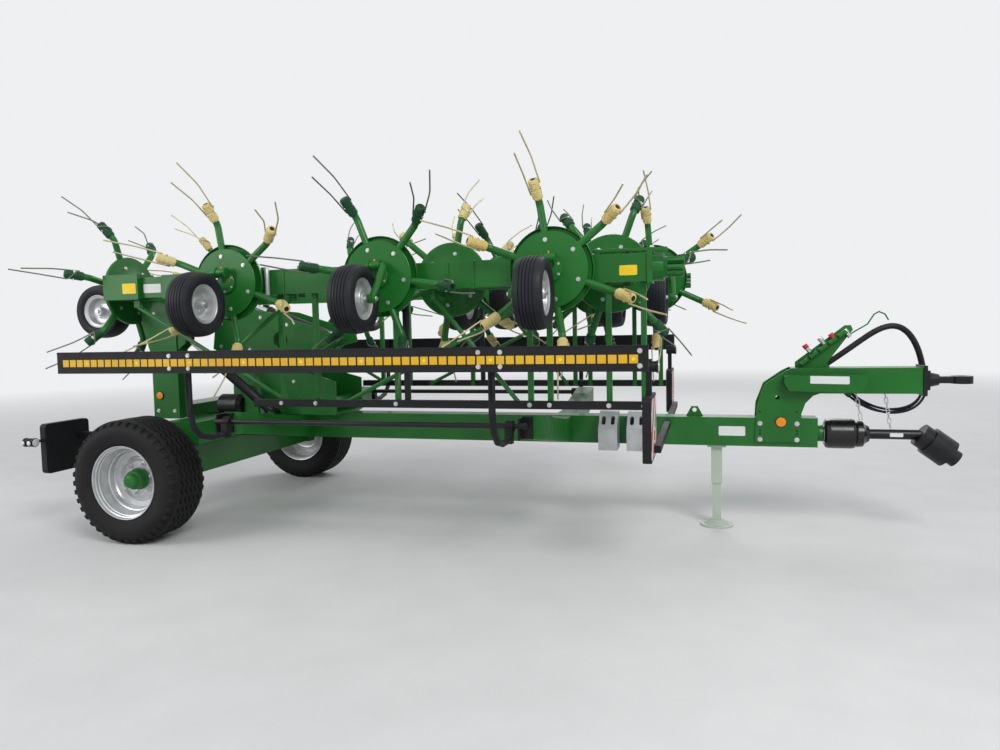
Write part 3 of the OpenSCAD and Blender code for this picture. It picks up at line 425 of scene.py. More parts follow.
# Hoses in one bundle: wrapped up to the front of the drawbar, then three loose hoses side by side
hosePlan = {"diameter": 0.040, "length": 1.494, "wrapped": 16, "wrap": 0.0185, "band": 0.0016, "turn": 0.026,
            "single": 0.0078, "spread": 0.0136}
hoseRoute = [
    (4.357, 0.040, 1.075), (4.405, 0.040, 1.110), (4.460, 0.040, 1.150), (4.515, 0.042, 1.191),
    (4.570, 0.045, 1.232), (4.625, 0.050, 1.270), (4.680, 0.056, 1.298), (4.735, 0.064, 1.310),
    (4.785, 0.074, 1.300), (4.830, 0.086, 1.268), (4.866, 0.098, 1.220), (4.894, 0.110, 1.164),
    (4.914, 0.120, 1.104), (4.928, 0.127, 1.044), (4.936, 0.130, 0.990), (4.939, 0.131, 0.940),
    (4.936, 0.130, 0.896), (4.924, 0.126, 0.856), (4.900, 0.118, 0.822), (4.866, 0.108, 0.795),
    (4.826, 0.096, 0.778), (4.784, 0.086, 0.769), (4.742, 0.076, 0.766), (4.700, 0.068, 0.769),
    (4.660, 0.062, 0.778), (4.620, 0.057, 0.793), (4.584, 0.053, 0.812), (4.552, 0.050, 0.831),
    (4.526, 0.048, 0.852), (4.500, 0.046, 0.875)]


def beside(route, radius, turns, start=0.0):  # a line that winds round a route
    line = []
    for k, point in enumerate(route):
        onward = (route[min(k + 1, len(route) - 1)] - route[max(k - 1, 0)]).normalized()
        across = onward.cross(Vector((0, 1, 0))).normalized()
        angle = start + 2 * math.pi * turns * k / (len(route) - 1)
        line.append(point + radius * (across * math.cos(angle) + onward.cross(across) * math.sin(angle)))
    return line


def evenly(route, step):  # the same route with points a step apart
    line = [route[0]]
    left = step
    for a, b in zip(route, route[1:]):
        reach = (b - a).length
        gone = 0.0
        while reach - gone >= left:
            gone += left
            line.append(a.lerp(b, gone / reach))
            left = step
        left -= reach - gone
    return line


def makeHoses():
    p = hosePlan
    route = [at(*point) for point in hoseRoute]
    wrapped = route[:p["wrapped"]]
    loose = route[p["wrapped"] - 1:]
    piece = Piece()
    piece.use("hose").tube(wrapped, p["wrap"], 20, bend=0.03, steps=3)
    fine = evenly(rounded(wrapped, 0.03, 4), p["turn"] / 9)
    piece.tube(beside(fine, p["wrap"] - 0.0003, len(fine) / 9), p["band"], 6, bend=0.001, steps=1)
    for k in range(3):
        piece.tube(beside(loose, p["spread"], 0.3, 2 * math.pi * k / 3), p["single"], 12, bend=0.03, steps=3)
    made = piece.finish("hoseBundle", "chassis", "hose_rubber", ["hose_bundle"], 50)


makeHoses()
print("hoses made")

# Rotors: built once in their own frame, +Z to the ground side, then copied to each place
rotorPlan = {"z": 1.673, "armR": 0.022, "plateZ": 0.019, "bendR": 0.345, "bend": math.radians(35),
             "bendRadius": 0.11, "plateR": 0.215, "discR": 0.245, "bore": 0.0483, "boss": 0.072,
             "boltR": 0.17, "holderR": 0.031, "sleeveR": 0.0262, "coilR": 0.034, "coilAt": 0.024,
             "coilRun": 0.072, "wireR": 0.00475,
             "innerTip": (0.596, 0.352), "outerTip": (0.712, 0.322)}
rotors = {  # place, turn about Z, the arms' phase and the colour of the holders
    "right_1": (0.645, -0.930, 0, 39, "cream"),
    "right_2": (1.705, -0.930, 0, 51, "moss"),
    "right_3": (2.765, -0.930, 0, 39, "cream"),
    "right_4": (3.045, -0.386, 180, -10, "moss"),
    "right_5": (1.985, -0.386, 180, -20, "cream"),
    "rear_right": (-0.484, -0.530, -90, 12, "moss"),
    "rear_left": (-0.484, 0.530, -90, 18, "cream"),
    "left_1": (0.645, 0.930, 180, 19, "moss"),
    "left_2": (1.705, 0.930, 180, 11, "cream"),
    "left_3": (2.765, 0.930, 180, 19, "moss"),
    "left_4": (3.235, 0.386, 0, -26, "cream"),
    "left_5": (2.175, 0.386, 0, -4, "moss"),
}
wheelSteps = {"right_4": 1, "right_5": 1, "rear_left": 1, "left_1": 1, "left_2": 1, "left_3": 1, "left_4": 1,
              "left_5": 1}  # the others step the other way


def rotorFrame(name):
    x, y, turn = rotors[name][:3]
    return (Matrix.Translation(at(x, y, rotorPlan["z"])) @ Matrix.Rotation(math.radians(turn), 4, "Z")
            @ Matrix.Rotation(math.radians(90), 4, "X"))


def armEnd(along, side=0.0):
    p = rotorPlan
    return Vector((p["bendR"] + p["bendRadius"] * math.sin(p["bend"]) + along * math.cos(p["bend"]), side,
                   p["bendRadius"] * (1 - math.cos(p["bend"])) + along * math.sin(p["bend"])))


def ribbed(start, end, radius, ribs):
    step = (end - start) / ribs
    profile = [(radius * 0.72, start), (radius * 0.95, start)]
    for k in range(ribs):
        z = start + k * step
        profile += [(radius, z + 0.12 * step), (radius, z + 0.7 * step), (radius * 0.93, z + 0.82 * step)]
    return profile + [(radius * 0.93, end), (radius * 0.72, end)]


def tineWire(p):
    radius = p["coilR"]
    core = [armEnd(p["coilAt"] + p["coilRun"] * k / 10, 0) for k in range(11)]
    upward = Vector((-math.sin(p["bend"]), 0, math.cos(p["bend"])))
    wrap = []
    for k, point in enumerate(core):  # half a turn round the holder between the two tines
        angle = math.pi * (0.5 - k / 10)
        wrap.append(point + Vector((0, 1, 0)) * radius * math.sin(angle) - upward * radius * math.cos(angle))
    tips = []
    for start, (r, z) in ((wrap[0], p["innerTip"]), (wrap[-1], p["outerTip"])):
        tip = Vector((r, start.y * 0.6, z))
        knee = start + (tip - start) * 0.45 + Vector((0.018, start.y * 0.1, -0.014))
        tips.append((knee, tip))
    (kneeA, tipA), (kneeB, tipB) = tips
    return [tipA, kneeA, *wrap, kneeB, tipB]


def makeRotor(colour):
    p = rotorPlan
    piece = Piece()
    bore = p["bore"]
    high = p["plateZ"]
    low = -high
    piece.use("green").lathe([  # dished upper disc with a rolled edge
        (bore, low), (0.16, low), (0.205, low + 0.001), (0.232, low + 0.003), (0.239, low + 0.009),
        (0.240, low + 0.018), (0.243, low + 0.0195), (p["discR"], low + 0.017), (p["discR"], low + 0.004),
        (0.241, low - 0.004), (0.2, low - 0.006), (0.115, low - 0.006), (0.105, low - 0.011),
        (0.075, low - 0.012), (bore, low - 0.012)], steps=96, closed=True)
    rim = p["plateR"]
    piece.lathe([(bore, high), (rim - 0.002, high), (rim, high + 0.0015), (rim, high + 0.0045),
                 (rim - 0.002, high + 0.006), (bore, high + 0.006)], steps=96, closed=True)
    piece.lathe([(bore, low), (p["boss"], low), (p["boss"], high), (bore, high)], steps=48, closed=True)
    for k in range(6):
        piece.put = Matrix.Rotation(math.radians(60 * k), 4, "Z")
        makeArm(piece, p, colour)
    piece.put = Matrix.Identity(4)
    return piece


def makeArm(piece, p, colour):
    knee = p["bendR"] + p["bendRadius"] * math.tan(p["bend"] / 2)
    wire = "paleWire" if colour == "cream" else "darkWire"
    piece.use("green").tube([(0.08, 0, 0), (knee, 0, 0), armEnd(0.02)], p["armR"], 20, bend=0.075, steps=8)
    face = p["plateZ"] + 0.006
    piece.use("zinc").bolt((p["boltR"], 0, face), (0, 0, 1), 0.0105)
    piece.bolt((p["boltR"], 0, -face), (0, 0, -1), 0.0105)
    holder = aim(armEnd(0), armEnd(0.1))[0]
    sleeve = p["sleeveR"]
    piece.use(colour).lathe(ribbed(0.002, 0.052, p["holderR"], 5), holder, 28, closed=True)
    piece.lathe(ribbed(0.062, 0.106, p["holderR"], 4), holder, 28, closed=True)
    piece.lathe([(0.0215, -0.006), (0.0255, -0.006), (sleeve, 0.0), (sleeve, 0.104), (0.0215, 0.104)],
                holder, 28, closed=True)
    piece.lathe([(0.0, 0.104), (sleeve, 0.104), (0.0266, 0.107), (0.0258, 0.112), (0.022, 0.114),
                 (0.0, 0.114)], holder, 28)
    piece.use("black").rod(holder @ Vector((0, 0, 0.1138)), holder @ Vector((0, 0, 0.1146)), 0.0155, 20)
    tag = holder @ Matrix.Rotation(math.radians(30), 4, "Z")
    piece.use("label").block((-0.004, -0.0305, 0.050), (0.018, -0.027, 0.064), 0.001, tag)
    piece.use("zinc").rod(armEnd(0.057, -0.024), armEnd(0.057, -0.036), 0.0065, 6)
    piece.use(wire).tube(tineWire(p), p["wireR"], 8, bend=0.03, steps=4)


def placeRotors():
    for colour in ("cream", "moss"):
        master = makeRotor(colour)
        for name, row in rotors.items():
            if row[4] != colour:
                continue
            mesh = bpy.data.meshes.new("tineRotor_" + name)
            master.bm.to_mesh(mesh)
            mesh.transform(rotorFrame(name) @ Matrix.Rotation(math.radians(row[3]), 4, "Z"))
            dress(mesh, master.names, "tineRotor_" + name, "rotor_" + name,
                  ["rotor_" + name], 32)
        master.bm.free()
    print("rotors placed:", len(rotors))


placeRotors()

footPlan = {"out": 0.272, "drop": 0.142, "side": 0.040, "radius": 0.2, "width": 0.112, "ribs": 6,
            "axle": 0.01408, "boltR": 0.058}


def footFrame(name):
    side = wheelSteps.get(name, -1) * footPlan["side"]
    return (rotorFrame(name) @ Matrix.Translation((side, -footPlan["drop"], footPlan["out"]))
            @ Matrix.Rotation(math.radians(90), 4, "Y"))


def mirrored(profile):  # the same half profile on the other side, from its far end back
    return [(r, -z) for r, z in reversed(profile)]


def around(count, radius, start):  # places on a bolt circle
    turns = [math.radians(360 / count * k + start) for k in range(count)]
    return [(radius * math.cos(turn), radius * math.sin(turn)) for turn in turns]


def makeFootWheel(side):
    p = footPlan
    piece = Piece()
    crown = []
    step = p["width"] / p["ribs"]
    for k in range(p["ribs"]):  # ribs and the grooves between them
        z = k * step - p["width"] / 2
        for share, dip in ((0.04, 0.0), (0.74, 0.0), (0.80, 0.005), (0.96, 0.005)):
            across = z + share * step
            last = k == p["ribs"] - 1 and dip
            crown.append((p["radius"] - 0.0002 - 2.2 * across * across - (0 if last else dip), across))
    wall = [(0.114, -0.058), (0.122, -0.062), (0.132, -0.073), (0.15, -0.0795), (0.170, -0.0795),
            (0.186, -0.072), (0.1905, -0.062)]
    piece.use("slate").lathe([*wall, *crown, *mirrored(wall)], steps=72, closed=True)
    axle = p["axle"]
    dish = [(axle, -0.062), (0.03, -0.062), (0.032, -0.058), (0.032, -0.012), (0.05, -0.006),
            (0.078, -0.004), (0.088, -0.010), (0.093, -0.030), (0.098, -0.052), (0.104, -0.056),
            (0.112, -0.058), (0.118, -0.064), (0.1205, -0.064), (0.1205, -0.060), (0.1145, -0.054),
            (0.1145, 0.054), (0.1205, 0.060), (0.1205, 0.064), (0.118, 0.064), (0.112, 0.058),
            (0.104, 0.056), (0.098, 0.052), (0.093, 0.030), (0.088, 0.012), (0.078, 0.004), (0.05, 0.002),
            (0.032, 0.010), (0.032, 0.058), (0.03, 0.062), (axle, 0.062)]
    piece.use("silver").lathe(dish, steps=60, closed=True)
    bore = axle + 0.0012
    boss = [(bore, 0.003), (0.094, 0.003), (0.094, 0.026), (0.091, 0.029), (0.064, 0.033), (0.061, 0.037),
            (0.060, 0.060), (0.057, 0.064), (0.034, 0.065), (0.033, 0.071), (bore, 0.071)]
    piece.lathe([(r, z * side) for r, z in boss], steps=60, closed=True)
    piece.use("zinc")
    for x, y in around(4, p["boltR"], 45):
        for face in (1, -1):
            piece.bolt((x, y, 0.002 * face), (0, 0, face), 0.007)
    return piece


def placeFootWheels():
    for side in (-1, 1):
        master = makeFootWheel(side)
        for name in rotors:
            if bracketSides.get(name, 1) != side:
                continue
            mesh = bpy.data.meshes.new("footTyre_" + name)
            master.bm.to_mesh(mesh)
            mesh.transform(footFrame(name))
            dress(mesh, master.names, "footTyre_" + name, "foot_wheel_" + name,
                  ["foot_wheel_" + name])
        master.bm.free()
    print("foot wheels placed")


bracketPlan = {"tube": 0.021, "beyond": 0.115, "socket": 0.062, "plate": 0.025, "hub": 0.048, "bend": 0.075,
               "clamp": 0.026, "pin": 0.014, "boltR": 0.058}
bracketSides = {"right_1": -1, "right_3": -1, "rear_right": -1, "left_2": -1}  # the others stand opposite


def makeBracket(piece, name):  # bent tube from a fixed hub round to its foot wheel
    p = bracketPlan
    side = bracketSides.get(name, 1)
    piece.put = rotorFrame(name)
    top = p["plate"]
    up = p["socket"]
    out = top + 0.04
    axle = Vector((wheelSteps.get(name, -1) * footPlan["side"], -footPlan["drop"], footPlan["out"]))
    x = axle.x + side * p["beyond"]
    piece.use("green").lathe([
        (0.0, -0.035), (p["hub"], -0.035), (p["hub"], top + 0.006), (0.070, top + 0.006),
        (0.070, top + 0.013), (0.067, top + 0.016), (0.045, top + 0.016), (0.040, top + 0.022),
        (0.0, top + 0.022)], steps=48)
    piece.rod((0, 0, top), (0, up, out), p["tube"], 24)
    piece.rod((-side * 0.036, up, out), (side * 0.04, up, out), p["tube"] + 0.006, 28, edge=0.002)
    for a in (-0.038, 0.03):
        piece.rod((side * a, up, out), (side * (a + 0.01), up, out), p["tube"] + 0.012, 28, edge=0.002)
    route = [(0, up, out), (x - side * 0.012, up, out + 0.006), (x, axle.y + 0.04, axle.z - 0.034),
             (x, axle.y, axle.z), (x, axle.y - 0.014, axle.z + 0.004)]
    piece.tube(route, p["tube"], 20, bend=p["bend"], steps=8)
    outer = (x + side * 0.024, axle.y, axle.z)
    piece.rod((x - side * 0.026, axle.y, axle.z), outer, p["clamp"], 28, edge=0.003)
    piece.use("zinc").rod((x, axle.y, axle.z), (axle.x - side * 0.074, axle.y, axle.z), p["pin"], 24)
    piece.use("amber").rod((0, up + 0.026, out), (0, up + 0.038, out), 0.0045, 10, edge=0.001)
    piece.use("zinc").bolt(outer, (side, 0, 0), 0.012)
    for spot in around(6, p["boltR"], 30):
        piece.bolt((*spot, top + 0.016), (0, 0, 1), 0.0065)


def placeBrackets():
    for group, names in (("right", [n for n in rotors if n.startswith("right")]),
                         ("rear", ["rear_right", "rear_left"]),
                         ("left", [n for n in rotors if n.startswith("left")])):
        piece = Piece()
        for name in names:
            makeBracket(piece, name)
        piece.finish("footBrackets_" + group, "chassis", "green_paint", ["foot_brackets_" + group], 40)
    print("brackets placed")


placeFootWheels()
placeBrackets()

roadPlan = {"radius": 0.405, "track": 1.075, "waves": 40, "swing": 0.0085, "lugs": 40, "hub": 0.0302,
            "grooves": (-0.082, -0.041, 0.0, 0.041, 0.082), "lug": (0.052, 0.038, 0.05), "lugR": 0.3755,
            "lugOut": 0.130, "studR": 0.1025, "screwR": 0.054}


def roadFrame(side):
    place = Matrix.Translation(at(0, side * roadPlan["track"], roadPlan["radius"]))
    return place @ Matrix.Rotation(math.radians(90 * -side), 4, "X")


def makeRoadTyre(side):
    p = roadPlan
    piece = Piece()
    crown = [(0.404, -0.118)]
    for z in p["grooves"]:
        top = p["radius"] - 0.35 * z * z
        crown += [(top, z - 0.0085), (top - 0.013, z - 0.0045), (top - 0.013, z + 0.0045), (top, z + 0.0085)]
    crown.append((0.404, 0.118))
    wall = [(0.2308, -0.127), (0.243, -0.138), (0.252, -0.147), (0.262, -0.150), (0.30, -0.164),
            (0.335, -0.1665), (0.362, -0.157), (0.382, -0.140), (0.389, -0.124)]

    def wave(part):
        for vert in part.verts:
            r = math.hypot(vert.co.x, vert.co.y)
            if r > 0.385 and abs(vert.co.z) < 0.1:
                vert.co.z += p["swing"] * math.sin(p["waves"] * math.atan2(vert.co.y, vert.co.x))

    piece.put = roadFrame(side)
    piece.use("tyre").lathe([*wall, *crown, *mirrored(wall)], steps=240, shape=wave, closed=True)
    for k in range(p["lugs"]):
        for flank in (-1, 1):
            turn = Matrix.Rotation(2 * math.pi * (k + 0.25 * flank) / p["lugs"], 4, "Z")
            part = bmesh.new()
            bmesh.ops.create_cube(part, size=1, matrix=Matrix.Diagonal((*p["lug"], 1)))
            for vert in part.verts:  # the outer end falls away over the shoulder
                if vert.co.z * flank > 0:
                    vert.co.x -= 0.016
                    vert.co.y *= 0.8
            bevelled(part, part.edges[:], 0.003, 1)
            piece.keep(part, turn @ Matrix.Translation((p["lugR"], 0, flank * p["lugOut"])))
    for z in (-1, 1):
        piece.lathe([(0.268, z * 0.1515), (0.272, z * 0.1545), (0.276, z * 0.1545), (0.280, z * 0.1565)],
                    steps=96, closed=True)
    return piece


def makeRoadRim(side):
    p = roadPlan
    piece = Piece()
    piece.put = roadFrame(side)
    hub = p["hub"]
    back = [(hub, -0.04), (0.052, -0.04), (0.062, -0.03), (0.075, -0.022), (0.118, -0.020), (0.128, -0.028),
            (0.142, -0.030), (0.152, -0.018), (0.185, -0.012), (0.200, -0.030), (0.203, -0.075),
            (0.215, -0.098), (0.2225, -0.108), (0.224, -0.126), (0.232, -0.131), (0.2345, -0.144),
            (0.240, -0.146)]
    well = [(0.2390, -0.136), (0.2306, -0.127), (0.2306, -0.104), (0.209, -0.078), (0.209, 0.058),
            (0.2306, 0.08), (0.2306, 0.127), (0.2390, 0.136)]
    front = [(0.240, 0.146), (0.2345, 0.145), (0.231, 0.131), (0.223, 0.127), (0.2225, 0.112),
             (0.217, 0.108), (0.2165, 0.088), (0.2035, 0.070), (0.2025, 0.046), (0.195, 0.042),
             (0.1935, 0.008), (0.185, -0.002), (0.152, -0.008), (0.142, -0.020), (0.128, -0.018),
             (0.118, -0.010), (0.07, -0.010), (hub, -0.010)]
    piece.use("silver").lathe(back + well + front, steps=96, closed=True)
    piece.use("green").lathe([
        (hub, -0.011), (0.070, -0.011), (0.072, -0.008), (0.072, 0.004), (0.066, 0.008), (0.064, 0.050),
        (0.059, 0.058), (0.048, 0.060), (0.046, 0.084), (0.041, 0.092), (hub, 0.094)], steps=48, closed=True)
    piece.lathe([(0.0, 0.098), (0.02, 0.097), (0.034, 0.093), (0.041, 0.086), (0.041, 0.05), (0.0305, 0.05),
                 (0.0305, 0.094), (0.0, 0.094)], steps=48)
    for stud, screw in zip(around(6, p["studR"], 12), around(6, p["screwR"], 12)):
        spot = Vector((*stud, -0.010))
        piece.use("zinc").rod(spot, spot + Vector((0, 0, 0.007)), 0.017, 20, edge=0.001)
        piece.rod(spot, spot + Vector((0, 0, 0.022)), 0.0115, 6)
        piece.rod(spot, spot + Vector((0, 0, 0.032)), 0.0065, 12, edge=0.001)
        piece.use("green").rod((*screw, 0.044), (*screw, 0.053), 0.006, 6)
    piece.use("black").rod((0.184, 0.03, -0.005), (0.176, 0.03, 0.03), 0.004, 10)
    return piece


for side, name in ((-1, "right"), (1, "left")):
    makeRoadTyre(side).finish("roadTyre_" + name, "wheel_" + name, "tyre_rubber", ["tyre_" + name], 40)
    makeRoadRim(side).finish("roadRim_" + name, "wheel_" + name, "silver_paint", ["rim_" + name])
print("road wheels placed")

# The CAD pieces that stay get their finish, and the welded and folded ones soft edges as well
nodeFinish = {"chock_holders": "galvanised", "pto_guard": "guard", "jack_tube": "pale", "jack_leg": "pale",
              "shaft_chains": "zinc"}
for name in ("pto_shaft", "tilt_cylinder", "board_carrier", "drawbar_eye", "oil_tank", "guard_tubes"):
    nodeFinish[name] = "black"
for name in ("side_board_right", "side_board_left", "rear_panels", "front_panels"):
    nodeFinish[name] = "panel"
softEdges = {"chassis_beam": 0.006, "axle_beam": 0.004, "gooseneck": 0.0025, "drawbar_eye": 0.003,
             "lift_tower": 0.003, "centre_beam": 0.006, "wing_beam_right": 0.006, "wing_beam_left": 0.006,
             "inner_beam_right": 0.006, "inner_beam_left": 0.006, "guard_rails_right": 0.003,
             "guard_rails_left": 0.003, "guard_tubes": 0.004, "rear_panels": 0.003, "front_panels": 0.003,
             "side_board_right": 0.0015, "side_board_left": 0.0015, "hose_holder": 0.0015,
             "board_carrier": 0.002}


softPlan = {"merge": 2e-5, "flat": math.radians(0.8), "corner": math.radians(35), "length": 5, "face": 4}


def soften(name, width):
    p = softPlan
    bm = bmesh.new()
    bm.from_mesh(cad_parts[name].data)
    bmesh.ops.remove_doubles(bm, verts=bm.verts, dist=p["merge"])
    bmesh.ops.dissolve_limit(bm, angle_limit=p["flat"], verts=bm.verts, edges=bm.edges)
    long = [e for e in bm.edges if len(e.link_faces) == 2 and e.calc_length() > p["length"] * width
            and e.calc_face_angle() > p["corner"]
            and min(f.calc_area() for f in e.link_faces) > (p["face"] * width) ** 2]
    bmesh.ops.bevel(bm, geom=long, offset=width, segments=2, affect="EDGES", profile=0.5, material=-1,
                    clamp_overlap=True)
    for face in bm.faces:
        face.smooth = True
        face.material_index = 0
    mesh = bpy.data.meshes.new("soft_" + name)
    bm.to_mesh(mesh)
    bm.free()
    body = "board_" + name.split("_")[-1] if name.startswith("side_board") else "chassis"
    made = dress(mesh, [nodeFinish.get(name, "green")], "soft_" + name, body, [name], 50)
    made.modifiers.new("evenLight", "WEIGHTED_NORMAL").keep_sharp = True  # flat faces shade as flat


for name, width in softEdges.items():
    soften(name, width)
for name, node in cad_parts.items():
    for slotItem in node.material_slots:
        slotItem.material = paint[nodeFinish.get(name, "green")]
print("frame painted")


boardPlan = {"y": 1.455, "z": 1.125, "height": 0.13, "rear": -0.215, "front": 3.345, "squares": 67,
             "size": 0.0425, "every": 7, "foil": 0.0012, "bolts": (0.596, 0.726, 2.482, 2.599, 3.304)}


def makeBoardFace(side):
    p = boardPlan
    piece = Piece()
    y = side * p["y"]
    out = Vector((0, side, 0))
    middle = p["z"] + 0.5 * p["height"]
    first = p["rear"] + 0.04
    last = p["front"] - 0.045
    pitch = (last - first) / p["squares"]
    for k in range(p["squares"]):
        x = first + (k + 0.5) * pitch
        half = 0.5 * p["size"]
        low = at(x - half, min(y, y + side * p["foil"]), middle - half - 0.003)
        high = at(x + half, max(y, y + side * p["foil"]), middle + half - 0.003)
        piece.use("foil").block(low, high, 0.0)
        if k % p["every"] == 3:
            spot = at(x, y + side * 0.001, middle - 0.003)
            piece.use("yellow").rod(spot, spot + out * 0.001, 0.009, 16)
    piece.use("zinc")
    for x in p["bolts"]:
        for z in (-0.037, 0.037):
            piece.bolt(at(x, y, middle + z), out, 0.0105)
    piece.use("panel")
    for z in (p["z"] + 0.004, p["z"] + p["height"] - 0.004):
        rim = (at(p["rear"], y - 0.001, z - 0.004), at(p["front"], y + 0.001, z + 0.004))
        piece.block(rim[0], rim[1] + Vector((0, 0.0006, 0)), 0.0005)
    return piece


for side, name in ((-1, "right"), (1, "left")):
    makeBoardFace(side).finish("boardFace_" + name, "board_" + name, "black_panel")
print("side boards dressed")


trimPlan = {"neckFace": 0.087, "beamFace": 0.075, "wingFace": 0.84, "railFace": 0.824, "towerFace": 0.217,
            "reflector": 0.034, "frontPanel": (3.345, 1.125, 0.81), "rearPanel": (-0.75, 0.935, 0.59),
            "panel": (0.37, 0.34), "coupling": 0.014, "hingePin": (0.885, 0.86)}
holderCouplings = [(4.214, 1.196, "red"), (4.303, 1.24, "silver"), (4.367, 1.264, "red"),
                   (4.448, 1.288, "silver")]
ramLines = {  # foot, eye and rod radius of the three rams
    "centre": ((0.88, 0.0, 1.30), (0.06, 0.0, 1.61), 0.021),
    "right": ((0.555, -0.33, 0.758), (-0.04, -0.48, 1.32), 0.0175),
    "left": ((0.555, 0.33, 0.758), (-0.04, 0.48, 1.32), 0.0175),
}


towerBolts = [(0.05, 1.25), (0.06, 1.42), (0.40, 1.46), (0.62, 1.40), (0.45, 0.83), (0.70, 0.83),
              (0.93, 0.83), (0.66, 0.98), (0.86, 1.31), (0.30, 1.22)]


def blankPlate(piece, colour, centre, across, upward, size, thick=0.0012, corner=0.12):  # label or sign
    across = Vector(across).normalized()
    upward = Vector(upward).normalized()
    turn = Matrix((across, upward, across.cross(upward))).transposed().to_4x4()
    put = Matrix.Translation(centre) @ turn
    w, h = size[0] / 2, size[1] / 2
    c = corner * size[1]
    outline = []
    for u, v, start in ((w - c, -h + c, -90), (w - c, h - c, 0), (-w + c, h - c, 90), (-w + c, -h + c, 180)):
        for k in range(5):
            angle = math.radians(start + 22.5 * k)
            outline.append((u + c * math.cos(angle), v + c * math.sin(angle)))
    piece.use(colour).plate(outline, thick, put, 0.25 * thick)


def reflector(piece, centre, out, r):
    put = aim(centre, Vector(centre) + Vector(out))[0]
    piece.use("black").lathe([(0.0, 0.0), (r, 0.0), (r, 0.005), (0.93 * r, 0.007), (0.0, 0.007)], put, 40)
    piece.use("amber").lathe([(0.0, 0.0055), (0.9 * r, 0.0065), (0.88 * r, 0.0085), (0.5 * r, 0.0105),
                              (0.0, 0.011)], put, 40)


def roundLamp(piece, centre, out, r, lens):
    put = aim(centre, Vector(centre) + Vector(out))[0]
    piece.use("black").lathe([(0.0, 0.0), (r, 0.0), (r, 0.008), (0.9 * r, 0.010), (0.0, 0.010)], put, 40)
    piece.use(lens).lathe([(0.0, 0.009), (0.88 * r, 0.009), (0.86 * r, 0.012), (0.55 * r, 0.0155),
                           (0.0, 0.017)], put, 40)


def makeTrim():
    p = trimPlan
    piece = Piece()
    for side in (-1, 1):
        out = Vector((0, side, 0))
        face = side * p["neckFace"]
        for x in (3.943, 4.165):
            for z in (0.699, 0.596):
                piece.use("zinc").bolt(at(x, face, z), out, 0.0125)
            # black discs at the holes in the gooseneck plate: painted shade inside the holes
            for z in (0.775, 0.655, 0.633):
                holeShade = at(x, face, z)
                piece.use("guard").rod(holeShade - out * 0.001, holeShade + out * 0.0006, 0.007, 16)
        reflector(piece, at(4.07, face, 0.71), out, p["reflector"])
        reflector(piece, at(-0.25, side * 0.541, 0.903), out, 0.03)
        for x in (0.93, 1.18, 1.74, 2.60, 2.72, 3.07, 3.27):
            piece.use("zinc").bolt(at(x, side * p["railFace"], 0.887), out, 0.0115)
        for x, z in towerBolts:
            piece.bolt(at(x, side * p["towerFace"], z), out, 0.0105)
        for x in (-0.27, -0.13):
            for z in (0.79, 1.20, 1.50):
                piece.bolt(at(x, side * 0.54, z), out, 0.0115)
        for x in (3.017, 3.321):
            for y in (0.746, 0.814):
                piece.bolt(at(x, side * y, 1.783), (0, 0, 1), 0.0125)
        x, y = p["hingePin"]
        piece.use("silver").rod(at(x, side * y, 1.59), at(x, side * y, 1.764), 0.016, 24, edge=0.002)
        along = (-side, 0, 0)
        blankPlate(piece, "yellow", at(-0.19, side * 0.86, 1.668), along, (0, 0, 1), (0.11, 0.07))
        blankPlate(piece, "label", at(-0.03, side * 0.826, 1.666), along, (0, 0, 1), (0.14, 0.06))
        blankPlate(piece, "yellow", at(3.19, side * p["wingFace"], 1.659), along, (0, 0, 1), (0.1, 0.057))
        dressPanels(piece, side)
    blankPlate(piece, "label", at(3.771, -p["beamFace"], 0.645), (1, 0, 0), (0, 0, 1), (0.165, 0.062))
    blankPlate(piece, "label", at(4.346, -0.155, 0.983), (1, 0, -0.02), (0, 0, 1), (0.225, 0.048))
    for x in (-0.03, 0.03):  # black plates over the slots in the chock holders: painted shade inside the slots
        for row in (2.983, 3.169):
            blankPlate(piece, "guard", at(row + x, -0.1765, 0.7088), (1, 0, 0), (0, 0.682, 0.731),
                       (0.0255, 0.0695), 0.0004, 0.18)
    for x, z, cap in holderCouplings:
        foot = at(x + 0.034, -0.019, z - 0.043)
        tip = at(x, -0.019, z)
        piece.use("zinc").rod(foot, tip, p["coupling"], 6, edge=0.001)
        piece.use(cap).rod(foot.lerp(tip, 0.55), foot.lerp(tip, 1.06), p["coupling"] + 0.003, 20, edge=0.002)
    for foot, eye, radius in ramLines.values():
        low = at(*foot)
        high = at(*eye)
        gland = low.lerp(high, 0.661)
        piece.use("silver").rod(low.lerp(high, 0.662), low.lerp(high, 0.95), radius + 0.0005, 32)
        piece.use("black").rod(low.lerp(high, 0.645), gland, 2 * radius + 0.004, 32, edge=0.003)
    blankPlate(piece, "label", at(4.75, -0.0312, 0.63), (1, 0, 0), (0, 0, 1), (0.075, 0.024), 0.0012, 0.2)
    piece.use("green").rod(at(4.285, 0, 0.63), at(4.33, 0, 0.63), 0.0525, 32, edge=0.003)
    piece.use("silver").rod(at(4.331, 0, 0.63), at(4.341, 0, 0.63), 0.049, 32, edge=0.002)
    return piece


